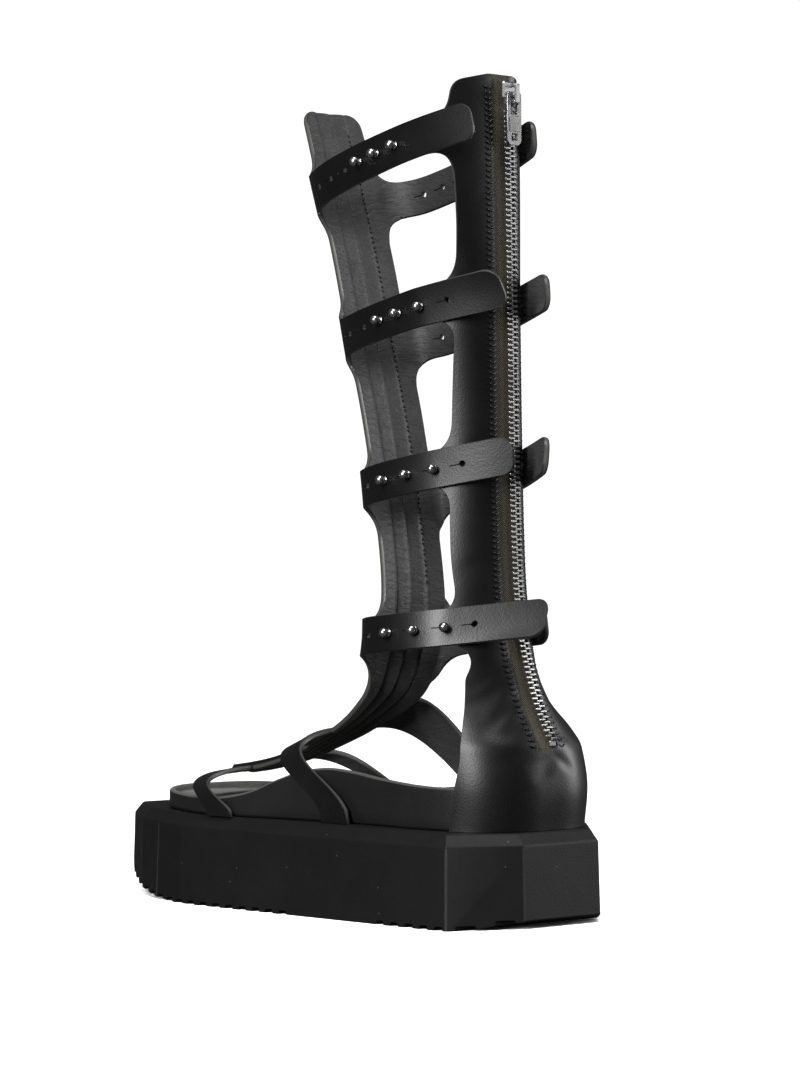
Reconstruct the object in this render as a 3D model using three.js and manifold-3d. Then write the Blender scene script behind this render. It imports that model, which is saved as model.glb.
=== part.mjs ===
// Gladiator sandal, right shoe. Millimetres, +Z up, the toe points along -Y, +X is the inner side of the foot.
// Places are worked out as f (forward), n (towards the inner side) and u (up), from the middle of the sole.
import * as THREE from 'three';
import { mergeVertices } from 'three/addons/utils/BufferGeometryUtils.js';
import Module from 'manifold-3d';

const wasm = await Module();
wasm.setup();

// ---- driving dimensions -------------------------------------------------------------------------------------
const SOLE_LENGTH = 303.6;
const SOLE_THICK = 45;
const CHAMFER_DROP = 5.6;
const CHAMFER_IN = 5;
const WALL_FLARE = 1.4;
const GROOVE_PITCH = 10;
const GROOVE_WIDE = 5.2;
const GROOVE_DEEP = 2;
const GAP = 0.3;
const LAP_GAP = 0.5;
const LEATHER = 2.6;
const FOOTBED_WALL = 3.2;
const FOOTBED_FLOOR = 4.5;
const INSOLE_THICK = 2.5;
const PANEL_HALF = 20;
const PANEL_CROWN = 2.5;
const PANEL_CORNER = 8;
const ZIP_INNER_EDGE = 8.2;
const ZIP_OUTER_EDGE = 5.4;
const STRAP_HIGH = 17.5;
const STRAP_CORNER = 6;
const STUD_PITCH = 14;
const STUDS_PER_STRAP = 3;
const STUD_RADIUS = 2.4;
const STUD_CLEAR = 0.9;
const TOP_HEIGHT = 408;
const ZIP_BOTTOM = 84;

const COLOURS = {
  leather: { color: 0x1c1c1e, roughness: 0.55, metalness: 0 },
  rubber: { color: 0x151516, roughness: 0.85, metalness: 0 },
  lining: { color: 0x8a8784, roughness: 0.95, metalness: 0 },
  tape: { color: 0x4b463a, roughness: 0.9, metalness: 0 },
  nickel: { color: 0xc4c4c6, roughness: 0.3, metalness: 1 },
};

// ---- solids -------------------------------------------------------------------------------------------------
const at = (f, n, u) => new THREE.Vector3(n, -f, u);

function toManifold(geometry) {
  const bare = geometry.clone();
  for (const name of Object.keys(bare.attributes)) {
    if (name !== 'position') bare.deleteAttribute(name);
  }
  const merged = mergeVertices(bare, 1e-4);
  return new wasm.Manifold(new wasm.Mesh({
    numProp: 3,
    vertProperties: new Float32Array(merged.attributes.position.array),
    triVerts: new Uint32Array(merged.index.array),
  }));
}

function fromManifold(body) {
  const mesh = body.getMesh();
  const geometry = new THREE.BufferGeometry();
  geometry.setAttribute('position', new THREE.BufferAttribute(mesh.vertProperties, 3));
  geometry.setIndex(new THREE.BufferAttribute(mesh.triVerts, 1));
  return geometry;
}

function signedVolume(points, faces) {
  return faces.reduce((sum, [a, b, c]) => {
    const cross = new THREE.Vector3().crossVectors(points[b], points[c]);
    return sum + points[a].dot(cross) / 6;
  }, 0);
}

function closedBody(points, faces) {
  const outward = signedVolume(points, faces) > 0 ? faces : faces.map(([a, b, c]) => [a, c, b]);
  const geometry = new THREE.BufferGeometry().setFromPoints(points);
  geometry.setIndex(outward.flat());
  return toManifold(geometry);
}

// A body through a stack of closed rings, each with the same number of points, closed by a fan at both ends.
function loft(rings) {
  const count = rings[0].length;
  const points = rings.flat();
  const faces = [];
  for (let row = 0; row + 1 < rings.length; row += 1) {
    for (let k = 0; k < count; k += 1) {
      const a = row * count + k;
      const b = row * count + (k + 1) % count;
      faces.push([a, b, b + count], [a, b + count, a + count]);
    }
  }
  for (const [row, flip] of [[0, true], [rings.length - 1, false]]) {
    const centre = new THREE.Vector3();
    rings[row].forEach((p) => centre.addScaledVector(p, 1 / count));
    const hub = points.push(centre) - 1;
    for (let k = 0; k < count; k += 1) {
      const a = row * count + k;
      const b = row * count + (k + 1) % count;
      faces.push(flip ? [hub, b, a] : [hub, a, b]);
    }
  }
  return closedBody(points, faces);
}

// A bent plate between two grids of points that have the same rows and columns.
function plate(outer, inner) {
  const rows = outer.length;
  const columns = outer[0].length;
  const size = rows * columns;
  const points = [...outer.flat(), ...inner.flat()];
  const faces = [];
  const quad = (a, b, c, d) => faces.push([a, b, c], [a, c, d]);
  for (let i = 0; i + 1 < rows; i += 1) {
    for (let j = 0; j + 1 < columns; j += 1) {
      const a = i * columns + j;
      quad(a, a + 1, a + columns + 1, a + columns);
      quad(size + a, size + a + columns, size + a + columns + 1, size + a + 1);
    }
  }
  const rim = [];
  for (let j = 0; j < columns; j += 1) rim.push(j);
  for (let i = 1; i < rows; i += 1) rim.push(i * columns + columns - 1);
  for (let j = columns - 2; j >= 0; j -= 1) rim.push((rows - 1) * columns + j);
  for (let i = rows - 2; i > 0; i -= 1) rim.push(i * columns);
  rim.forEach((a, k) => {
    const b = rim[(k + 1) % rim.length];
    quad(a, size + a, size + b, b);
  });
  return closedBody(points, faces);
}

// A side view outline in f and u, run through from n = from to n = to.
function sideCutter(outline, from, to) {
  const shape = new THREE.Shape(outline.map(([f, u]) => new THREE.Vector2(f, u)));
  const geometry = new THREE.ExtrudeGeometry(shape, { depth: Math.abs(to - from), bevelEnabled: false });
  const frame = new THREE.Matrix4().makeBasis(
    new THREE.Vector3(0, -1, 0), new THREE.Vector3(0, 0, 1), new THREE.Vector3(-1, 0, 0));
  frame.setPosition(Math.max(from, to), 0, 0);
  geometry.applyMatrix4(frame);
  return toManifold(geometry);
}

function block(fRange, nRange, uRange) {
  const geometry = new THREE.BoxGeometry(
    nRange[1] - nRange[0], fRange[1] - fRange[0], uRange[1] - uRange[0]);
  geometry.translate((nRange[0] + nRange[1]) / 2, -(fRange[0] + fRange[1]) / 2, (uRange[0] + uRange[1]) / 2);
  return toManifold(geometry);
}

// ---- tables and curves --------------------------------------------------------------------------------------
// Reads a table of rows at a key, smoothly (a Hermite curve whose slope never overshoots the rows).
function readTable(rows, keyName, key, column) {
  const last = rows.length - 1;
  if (key <= rows[0][keyName]) return rows[0][column];
  if (key >= rows[last][keyName]) return rows[last][column];
  const i = rows.findIndex((row) => row[keyName] > key) - 1;
  const slope = (k) => (rows[k + 1][column] - rows[k][column]) / (rows[k + 1][keyName] - rows[k][keyName]);
  const tangent = (k) => {
    if (k === 0) return slope(0);
    if (k === last) return slope(last - 1);
    const [a, b] = [slope(k - 1), slope(k)];
    return a * b <= 0 ? 0 : 2 * a * b / (a + b);
  };
  const step = rows[i + 1][keyName] - rows[i][keyName];
  const t = (key - rows[i][keyName]) / step;
  const [t2, t3] = [t * t, t * t * t];
  return (2 * t3 - 3 * t2 + 1) * rows[i][column] + (t3 - 2 * t2 + t) * step * tangent(i)
    + (3 * t2 - 2 * t3) * rows[i + 1][column] + (t3 - t2) * step * tangent(i + 1);
}

const namedRows = (names, rows) => rows.map((row) => Object.fromEntries(names.map((name, k) => [name, row[k]])));

// The leg form, by height: the middle of the shin and the zip line, then for each side the half width and how
// far forward it is reached. square is the exponent of the back corners. Below 118 only the heel end is used.
const LEG = namedRows(
  ['u', 'front', 'back', 'innerHalf', 'innerAt', 'outerHalf', 'outerAt', 'square'], [
    [45, -40, -145.5, 47.6, -100, 46.6, -100, 2.2],
    [64, -40, -147.2, 47.6, -100, 47.2, -100, 2.25],
    [84, -40, -145.2, 47.2, -99, 45.7, -99, 2.1],
    [92, -40, -140.7, 46.8, -97, 42.2, -97, 2.05],
    [106, -40, -133.4, 46.2, -91, 29.2, -91, 2],
    [120, -41.5, -128.2, 45.6, -84, 22.2, -84, 2],
    [140, -46.8, -122.8, 45.2, -76, 22.2, -84, 2],
    [168, -48.0, -119.8, 41.2, -70, 23.2, -72, 2],
    [215, -39.0, -117.8, 37.2, -70, 25.2, -60, 2],
    [292, -20.6, -116.2, 35.2, -84, 28.2, -40, 2],
    [372, 2.0, -114.4, 44.7, -93, 34.2, -25, 2],
    [408, 12.2, -112.6, 42.2, -93, 32.2, -28, 2],
  ]);
const leg = (u, column) => readTable(LEG, 'u', u, column);

const QUARTER_STEPS = 9;
const zipEdge = (side) => (side > 0 ? ZIP_INNER_EDGE : ZIP_OUTER_EDGE);

// Half of the leg form's plan at a height, from the edge of the shin panel round to the edge of the zip.
function legHalf(u, side) {
  const half = leg(u, side > 0 ? 'innerHalf' : 'outerHalf');
  const widest = leg(u, side > 0 ? 'innerAt' : 'outerAt');
  const front = leg(u, 'front') - PANEL_CROWN;
  const back = leg(u, 'back');
  const power = 2 / leg(u, 'square');
  const points = [];
  for (let k = 0; k <= QUARTER_STEPS; k += 1) {
    const turn = k / QUARTER_STEPS * Math.PI / 2;
    const n = PANEL_HALF + (half - PANEL_HALF) * Math.sin(turn);
    points.push(new THREE.Vector2(widest + (front - widest) * Math.cos(turn), side * n));
  }
  for (let k = 1; k <= QUARTER_STEPS; k += 1) {
    const turn = k / QUARTER_STEPS * Math.PI / 2;
    const n = zipEdge(side) + (half - zipEdge(side)) * Math.max(Math.cos(turn), 0) ** power;
    points.push(new THREE.Vector2(widest - (widest - back) * Math.sin(turn) ** power, side * n));
  }
  return points;
}

function offsetPlan(points, distance, closed) {
  const count = points.length;
  return points.map((p, k) => {
    const before = closed ? points[(k + count - 1) % count] : points[Math.max(k - 1, 0)];
    const after = closed ? points[(k + 1) % count] : points[Math.min(k + 1, count - 1)];
    const along = after.clone().sub(before).normalize();
    return new THREE.Vector2(p.x + along.y * distance, p.y - along.x * distance);
  });
}

// Point and heading on the leg form's plan, s mm along the plan from the shin panel's edge.
function onLeg(u, side, s) {
  const plan = legHalf(u, side);
  let rest = s;
  let k = 1;
  while (k < plan.length - 1 && rest > plan[k].distanceTo(plan[k - 1])) {
    rest -= plan[k].distanceTo(plan[k - 1]);
    k += 1;
  }
  const heading = plan[k].clone().sub(plan[k - 1]).normalize();
  const point = plan[k - 1].clone().addScaledVector(heading, rest);
  return { point, heading };
}

// The four shaft straps of a side: height of the middle at the shin panel, rise per mm, and how far from the
// panel the first stud sits. A tail is the free end past the last stud, a bend its turn inwards in degrees.
const SHAFT_STRAPS = namedRows(
  ['name', 'height', 'rise', 'innerFirst', 'outerFirst', 'innerTail', 'outerTail', 'innerBend', 'outerBend'], [
    ['top', 352.6, 0.212, 66, 66, 45, 31, 18, 4],
    ['upper', 281.0, 0.192, 47, 47, 42, 42, 14, 4],
    ['lower', 205.6, 0.180, 38, 38, 38, 40, 10, 6],
    ['ankle', 134.0, 0.108, 47, 33, 48, 19, 4, -10],
  ]);
const firstStud = (strap, side) => (side > 0 ? strap.innerFirst : strap.outerFirst);

// The shin and instep middle line of the upper's outer face, from the top edge down to the toe strap.
const SHIN = namedRows(['f', 'u', 'half'], [
  [14.6, 398, 18.5],
  [5.6, 372, 19.5],
  [-9.8, 323.5, 20],
  [-20.9, 281, 20],
  [-31.3, 243, 20],
  [-39.5, 204, 20],
  [-45.2, 168, 20.5],
  [-45.4, 146, 21.5],
  [-41.4, 127, 22],
  [-34.9, 111.8, 20.5],
  [-26.9, 104, 18.5],
  [-14.5, 95.9, 15],
  [0.2, 88.2, 13],
  [18.8, 80.6, 11.5],
  [31.7, 75.4, 10],
  [49.2, 70.6, 9],
  [64.6, 67.6, 9],
  [80, 65.4, 9],
]);

const INSTEP_LINE = SHIN.filter((row) => row.u < 112).sort((a, b) => a.f - b.f);

// ---- outsole ------------------------------------------------------------------------------------------------
// Outline of the outsole at the lower edge of its chamfer, from the toe round each side to the heel.
const SOLE_OUTLINE = namedRows(['f', 'inner', 'outer'], [
  [151.8, 11, 17],
  [134, 25, 31],
  [112, 39, 44],
  [86, 50, 54],
  [62, 55.5, 57],
  [45, 57, 58],
  [-118, 58, 57],
  [-132, 58, 43],
  [-151.8, 26, 25],
]);
const TOE_SPRING = { from: 58, rise: 15 };
const HEEL_LIFT = { from: -136, rise: 4.5 };

function insetRing(rows, height, inset) {
  const inner = rows.map((row) => new THREE.Vector2(row.f, row.inner));
  const outer = rows.map((row) => new THREE.Vector2(row.f, -row.outer)).reverse();
  return offsetPlan([...inner, ...outer], -inset, true).map((p) => at(p.x, p.y, height));
}

function makeOutsole() {
  const edge = SOLE_THICK - CHAMFER_DROP;
  let sole = loft([
    insetRing(SOLE_OUTLINE, 0, -WALL_FLARE),
    insetRing(SOLE_OUTLINE, edge, 0),
    insetRing(SOLE_OUTLINE, SOLE_THICK, CHAMFER_IN),
  ]);
  const half = SOLE_LENGTH / 2 + 4;
  const spring = [];
  for (let k = 0; k <= 8; k += 1) {
    const t = k / 8;
    spring.push([TOE_SPRING.from + t * (half - TOE_SPRING.from), TOE_SPRING.rise * t * t]);
  }
  sole = sole.subtract(sideCutter([...spring, [half, -9], [TOE_SPRING.from, -9]], -80, 80));
  const heel = [[HEEL_LIFT.from, 0], [HEEL_LIFT.from, -9], [-half, -9], [-half, HEEL_LIFT.rise]];
  sole = sole.subtract(sideCutter(heel, -80, 80));
  const grooves = [];
  for (let f = -18; f < 140; f += GROOVE_PITCH) grooves.push(f);
  for (let f = -88; f > -150; f -= GROOVE_PITCH) grooves.push(f);
  for (const f of grooves) {
    const t = Math.max(0, (f - TOE_SPRING.from) / (half - TOE_SPRING.from));
    const lift = Math.max(0, (HEEL_LIFT.from - f) / (half + HEEL_LIFT.from)) * HEEL_LIFT.rise;
    const bottom = TOE_SPRING.rise * t * t + lift;
    const range = [f - GROOVE_WIDE / 2, f + GROOVE_WIDE / 2];
    sole = sole.subtract(block(range, [-80, 80], [-5, bottom + GROOVE_DEEP]));
  }
  return sole;
}

// ---- footbed and insole -------------------------------------------------------------------------------------
// Outline of the footbed's wall from toe to heel, with the height of its rim on each side.
const FOOTBED = namedRows(['f', 'inner', 'outer', 'innerRim', 'outerRim'], [
  [-140.8, 9, 9, 65.5, 64],
  [-138.4, 20, 20, 65.5, 64],
  [-131.6, 30.6, 30.6, 65.5, 64],
  [-120, 38.7, 38.7, 65.8, 64],
  [-99, 42.4, 42.4, 66.2, 63.5],
  [-70, 41, 42, 68.2, 62],
  [-47, 40, 42.5, 70.8, 60],
  [-30, 40.6, 43.8, 71.6, 58.5],
  [-14, 42.6, 45.4, 69.6, 57],
  [2, 45.4, 47, 64.6, 56],
  [18, 48.2, 48.4, 58.4, 55],
  [38, 50, 48.4, 54.6, 54.5],
  [58, 48.4, 45.6, 54, 55],
  [80, 41.6, 38.4, 54.3, 56],
  [98, 32.4, 29, 55, 56.5],
  [108, 22, 19, 55.6, 56.3],
  [113, 9, 7, 56, 56],
]);

function footHalf(f, side) {
  return readTable(FOOTBED, 'f', f, side > 0 ? 'inner' : 'outer');
}

function footRing(height, inset) {
  const inner = FOOTBED.map((row) => new THREE.Vector2(row.f, row.inner)).reverse();
  const outer = FOOTBED.map((row) => new THREE.Vector2(row.f, -row.outer));
  return offsetPlan([...inner, ...outer], -inset, true).map((p) => at(p.x, p.y, height));
}

function rimCutter() {
  const reach = 70;
  const bottom = [];
  const top = [];
  for (const row of FOOTBED) {
    const f = row.f + Math.sign(row.f) * (Math.abs(row.f) > 112 ? 8 : 0);
    bottom.push([at(f, -reach, row.outerRim), at(f, -row.outer, row.outerRim),
      at(f, row.inner, row.innerRim), at(f, reach, row.innerRim)]);
    top.push([-reach, -row.outer, row.inner, reach].map((n) => at(f, n, 130)));
  }
  return plate(top, bottom);
}

function makeFootbed() {
  const base = SOLE_THICK + GAP;
  const wall = loft([footRing(base, 0), footRing(90, 0)]);
  const hollow = loft([footRing(base + FOOTBED_FLOOR, FOOTBED_WALL), footRing(95, FOOTBED_WALL)]);
  return wall.subtract(hollow).subtract(rimCutter());
}

function makeInsole() {
  const base = SOLE_THICK + GAP + FOOTBED_FLOOR + GAP;
  const inset = FOOTBED_WALL + GAP;
  return loft([footRing(base, inset), footRing(base + INSOLE_THICK, inset)]);
}

// ---- upper, back piece --------------------------------------------------------------------------------------
const LEVELS = [SOLE_THICK + GAP, 56, 66, 76, 84, 92, 100, 108, 118, 128, 140, 154, 170, 190, 215, 240, 266,
  292, 318, 345, 372, 390, TOP_HEIGHT];

function legRing(u, distance) {
  const inner = legHalf(u, 1);
  const outer = legHalf(u, -1).reverse();
  const closed = offsetPlan([...inner, ...outer], distance, true);
  return closed.map((p) => at(p.x, p.y, u));
}

function legShell(outside, inside) {
  const low = LEVELS[0] - 20;
  const high = TOP_HEIGHT + 20;
  const outer = loft(LEVELS.map((u) => legRing(u, outside)));
  const innerLevels = [low, ...LEVELS, high];
  const inner = loft(innerLevels.map((u) => {
    const ring = legRing(Math.min(Math.max(u, LEVELS[0]), TOP_HEIGHT), inside);
    return ring.map((p) => new THREE.Vector3(p.x, p.y, u));
  }));
  return outer.subtract(inner);
}

// How far forward the plan point lies that is s mm from the zip's edge.
function fromZip(u, side, s) {
  const plan = legHalf(u, side).reverse();
  let rest = s;
  let k = 1;
  while (k < plan.length - 1 && rest > plan[k].distanceTo(plan[k - 1])) {
    rest -= plan[k].distanceTo(plan[k - 1]);
    k += 1;
  }
  return plan[k - 1].clone().lerp(plan[k], rest / plan[k].distanceTo(plan[k - 1])).x;
}

const WING_HIGH = 15;
const WING_PAST_STUD = 8;
const WING_FILLET = 7;
const COUNTER_EDGE = namedRows(['u', 'f'], [
  [45, -120], [66, -123], [80, -124.8], [92, -123.6], [107, -121.2], [118, -119],
]);
// Width of the back panel beside the zip, by height.
const BACK_PANEL = namedRows(['u', 'wide'], [
  [130, 21], [180, 26], [250, 23.5], [330, 21], [385, 24], [408, 23],
]);

// Outline of one side of the back piece seen from the side, from the sole up to the top edge.
function backOutline(side) {
  const points = [[-170, 40], [-120, 40]];
  COUNTER_EDGE.forEach((row) => points.push([row.f, row.u]));
  const rootAt = (u) => fromZip(u, side, readTable(BACK_PANEL, 'u', u, 'wide'));
  for (const strap of [...SHAFT_STRAPS].reverse()) {
    const tipAlong = firstStud(strap, side) - WING_PAST_STUD;
    const tipHeight = strap.height + strap.rise * tipAlong;
    const tip = onLeg(tipHeight, side, tipAlong).point.x;
    const rootHeight = tipHeight + strap.rise * 38;
    const half = WING_HIGH / 2;
    const below = rootAt(rootHeight - half - WING_FILLET);
    const above = rootAt(rootHeight + half + WING_FILLET);
    points.push([below, rootHeight - half - WING_FILLET]);
    points.push([below + WING_FILLET * 0.35, rootHeight - half - 2.2]);
    points.push([below + WING_FILLET * 1.3, rootHeight - half - 1]);
    points.push([tip - 4, tipHeight - half], [tip - 1, tipHeight - half + 1.2], [tip, tipHeight - half + 4]);
    points.push([tip, tipHeight + half - 4], [tip - 1, tipHeight + half - 1.2], [tip - 4, tipHeight + half]);
    points.push([above + WING_FILLET * 1.3, rootHeight + half + 0.5]);
    points.push([above + WING_FILLET * 0.35, rootHeight + half + 2]);
    points.push([above, rootHeight + half + WING_FILLET]);
  }
  const top = rootAt(TOP_HEIGHT - 4);
  points.push([top, TOP_HEIGHT - 8], [top - 1, TOP_HEIGHT - 5.6], [top - 3.5, TOP_HEIGHT - 4.6]);
  points.push([leg(TOP_HEIGHT, 'back'), TOP_HEIGHT], [-170, TOP_HEIGHT]);
  return points;
}

function makeUpperBack() {
  const shell = legShell(-LAP_GAP, -LAP_GAP - LEATHER);
  const inner = shell.intersect(sideCutter(backOutline(1), -0.01, 90));
  const outer = shell.intersect(sideCutter(backOutline(-1), -90, 0.01));
  const slot = block([-170, -90], [-ZIP_OUTER_EDGE, ZIP_INNER_EDGE], [ZIP_BOTTOM, TOP_HEIGHT + 9]);
  return inner.add(outer).subtract(slot);
}

// ---- upper, front piece -------------------------------------------------------------------------------------
const HALF_TURN = Math.PI;
const DEGREE = HALF_TURN / 180;

// Stations of a shaft strap: plan point and normal at the strap's middle, its height and half width.
function strapStations(strap, side) {
  const held = firstStud(strap, side) + STUD_PITCH * (STUDS_PER_STRAP - 1) + 2;
  const length = held - 2 + (side > 0 ? strap.innerTail : strap.outerTail);
  const stops = [-3, 0, 2, 5, 9];
  for (let s = 15; s < held; s += 8) stops.push(s);
  stops.push(held);
  const bend = (side > 0 ? strap.innerBend : strap.outerBend) * DEGREE;
  const tailSteps = 6;
  for (let k = 1; k <= tailSteps; k += 1) stops.push(held + (length - STRAP_CORNER - held) * k / tailSteps);
  for (const turn of [30, 55, 75, 88]) stops.push(length - STRAP_CORNER * (1 - Math.sin(turn * DEGREE)));
  return stops.map((s) => {
    const fillet = Math.max(0, 1 - Math.max(s, 0) / 9);
    const flare = 7 * (1 - Math.sqrt(1 - fillet * fillet));
    const past = Math.max(0, s - (length - STRAP_CORNER)) / STRAP_CORNER;
    const corner = STRAP_CORNER * (1 - Math.sqrt(1 - Math.min(past, 1) ** 2));
    return { s, half: STRAP_HIGH / 2 - corner + flare, held, bend, length };
  });
}

function shaftStrapGrid(strap, side, distance) {
  const across = [-1, -0.34, 0.34, 1];
  return strapStations(strap, side).map((station) => across.map((share) => {
    const height = strap.height + strap.rise * station.s + share * station.half;
    const onForm = Math.min(Math.max(station.s, 0), station.held);
    const middle = strap.height + strap.rise * onForm;
    const spot = onLeg(middle + share * station.half, side, onForm);
    const beyond = station.s - onForm;
    const heading = spot.heading.clone();
    const reach = station.length - station.held;
    const turn = beyond > 0 ? station.bend * (beyond / reach) / 2 : 0;
    heading.rotateAround(new THREE.Vector2(), turn * side);
    const normal = new THREE.Vector2(heading.y, -heading.x).multiplyScalar(side);
    if (station.s < 0) heading.set(0, side);
    const place = spot.point.clone().addScaledVector(heading, beyond).addScaledVector(normal, distance);
    return at(place.x, place.y, height);
  }));
}

function makeShaftStrap(strap, side) {
  return plate(shaftStrapGrid(strap, side, GAP + LEATHER), shaftStrapGrid(strap, side, GAP));
}

function makeShinPanel() {
  const line = new THREE.SplineCurve(SHIN.map((row) => new THREE.Vector2(row.f, row.u)));
  const steps = 44;
  const across = [-1, -0.75, -0.4, 0, 0.4, 0.75, 1];
  const outer = [];
  const inner = [];
  for (let k = 0; k <= steps; k += 1) {
    const t = k / steps;
    const spot = line.getPoint(t);
    const along = line.getTangent(t);
    const normal = new THREE.Vector2(-along.y, along.x);
    const row = t * (SHIN.length - 1);
    const low = Math.min(Math.floor(row), SHIN.length - 2);
    const half = SHIN[low].half + (SHIN[low + 1].half - SHIN[low].half) * (row - low);
    const fromTop = Math.hypot(spot.x - SHIN[0].f, spot.y - SHIN[0].u);
    const corner = Math.max(0, 1 - fromTop / PANEL_CORNER);
    const width = half - PANEL_CORNER * (1 - Math.sqrt(1 - corner * corner)) * 0.9;
    const place = (share, depth) => {
      const n = share * width;
      const drop = PANEL_CROWN * (n / PANEL_HALF) ** 2 + depth;
      return at(spot.x - normal.x * drop, n, spot.y - normal.y * drop);
    };
    outer.push(across.map((share) => place(share, 0)));
    inner.push(across.map((share) => place(share, LEATHER)));
  }
  return plate(outer, inner);
}

// The straps over the foot: front and rear edge where they leave the instep and at the sole, how square the
// arch is, how far it stands off the footbed's wall, and how far it bows above an even arch.
const FOOT_STRAPS = namedRows(
  ['side', 'topFront', 'topRear', 'soleFront', 'soleRear', 'square', 'clear', 'bow'], [
    [1, 76, 60, 43, 26, 4, 2.2, -2],
    [1, 12, -4, -33, -51, 4, 3.4, -3],
    [-1, 72, 54, 20, 2, 3.6, 2, 8],
    [-1, 12, -20, -58, -80, 2.8, 1.6, 12],
  ]);

function footStrapGrid(strap, depth) {
  const rows = [];
  const steps = 14;
  const base = SOLE_THICK + GAP;
  const power = 2 / strap.square;
  for (let i = 0; i <= steps; i += 1) {
    const share = i / steps;
    const turn = (0.02 + 0.98 * share) * Math.PI / 2;
    rows.push([0, 0.33, 0.67, 1].map((k) => {
      const top = strap.topFront + (strap.topRear - strap.topFront) * k;
      const sole = strap.soleFront + (strap.soleRear - strap.soleFront) * k;
      const f = top + (sole - top) * share ** (2 + 0.8 * k);
      const half = footHalf(f, strap.side) + strap.clear;
      const crest = readTable(INSTEP_LINE, 'f', top, 'u') - LEATHER - 0.3 - base;
      const arch = (angle) => new THREE.Vector2(half * Math.max(Math.sin(angle), 0) ** power,
        base + crest * Math.max(Math.cos(angle), 0) ** power + strap.bow * Math.sin(2 * angle));
      const along = arch(Math.min(turn + 0.02, Math.PI / 2)).sub(arch(turn - 0.02)).normalize();
      const spot = arch(turn);
      return at(f, strap.side * (spot.x - along.y * depth), Math.max(spot.y + along.x * depth, base));
    }));
  }
  return rows;
}

function makeFootStrap(strap) {
  return plate(footStrapGrid(strap, LEATHER), footStrapGrid(strap, 0));
}

function makeUpperFront() {
  let upper = makeShinPanel();
  for (const side of [1, -1]) {
    for (const strap of SHAFT_STRAPS) upper = upper.add(makeShaftStrap(strap, side));
  }
  for (const strap of FOOT_STRAPS) upper = upper.add(makeFootStrap(strap));
  return upper;
}

// ---- zip ----------------------------------------------------------------------------------------------------
function zipStrip(edges, outerDepth, innerDepth, from, to) {
  const steps = 24;
  const place = (n, depth, k) => {
    const u = from + (to - from) * k / steps;
    return at(leg(u, 'back') + depth, n, u);
  };
  const outer = [];
  const inner = [];
  for (let k = 0; k <= steps; k += 1) {
    outer.push(edges.map((n) => place(n, outerDepth, k)));
    inner.push(edges.map((n) => place(n, innerDepth, k)));
  }
  return plate(outer, inner);
}

const CHAIN_MIDDLE = -1.7;
const CHAIN_HALF = 3.4;
const besideChain = (half) => [CHAIN_MIDDLE - half, CHAIN_MIDDLE + half];
const SLIDER_LOW = 393;
const SLIDER_HIGH = 405;
const SLIDER_HALF = 4.9;
const BAIL_HALF = 1.5;
const HINGE_HEIGHT = 398.6;
const HINGE_OUT = 4.4;
const TAB_HALF = 4.8;
const TAB_SLOT_HALF = 2.4;
const TAB_LENGTH = 25;
const TAB_THICK = 1.6;

function makeSlider() {
  const back = leg(HINGE_HEIGHT, 'back');
  const bail = besideChain(BAIL_HALF);
  const plateOut = block([back - 2.6, back - 0.6], besideChain(SLIDER_HALF), [SLIDER_LOW, SLIDER_HIGH]);
  const bailTop = block([back - 6.6, back - 2.2], bail, [SLIDER_HIGH - 3.2, SLIDER_HIGH - 1.8]);
  const bailLow = block([back - 6.6, back - 2.2], bail, [SLIDER_LOW + 0.8, SLIDER_LOW + 2.2]);
  const bailBar = block([back - 7.6, back - 6.4], bail, [SLIDER_LOW + 0.8, SLIDER_HIGH - 1.8]);
  return plateOut.add(bailTop).add(bailLow).add(bailBar);
}

function makePullTab() {
  const axis = leg(HINGE_HEIGHT, 'back') - HINGE_OUT;
  const shape = new THREE.Shape();
  const low = -TAB_LENGTH;
  const top = 0.8;
  shape.moveTo(-TAB_HALF, top - 1);
  shape.lineTo(-TAB_HALF + 1, top);
  shape.lineTo(TAB_HALF - 1, top);
  shape.lineTo(TAB_HALF, top - 1);
  shape.lineTo(TAB_HALF, low + 2);
  shape.lineTo(TAB_HALF - 2, low);
  shape.lineTo(-TAB_HALF + 2, low);
  shape.lineTo(-TAB_HALF, low + 2);
  const window = (half, high, bottom) => {
    const hole = new THREE.Path();
    hole.moveTo(-half, high);
    hole.lineTo(-half, bottom);
    hole.lineTo(half, bottom);
    hole.lineTo(half, high);
    shape.holes.push(hole);
  };
  window(TAB_SLOT_HALF, -0.8, -10);
  window(TAB_SLOT_HALF - 0.6, -19.5, -22.5);
  const geometry = new THREE.ExtrudeGeometry(shape, { depth: TAB_THICK, bevelEnabled: false });
  const frame = new THREE.Matrix4().makeBasis(
    new THREE.Vector3(1, 0, 0), new THREE.Vector3(0, 0, 1), new THREE.Vector3(0, -1, 0));
  frame.setPosition(CHAIN_MIDDLE, -axis + TAB_THICK / 2, HINGE_HEIGHT);
  geometry.applyMatrix4(frame);
  return toManifold(geometry);
}

// ---- studs --------------------------------------------------------------------------------------------------
const STUD_PROFILE = [[0, 0], [2.2, 0], [2.2, 0.6], [1.3, 1], [2.4, 3.2], [1.8, 4.9], [0, 5.7]];
const STUD_SIDES = 7;

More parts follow.
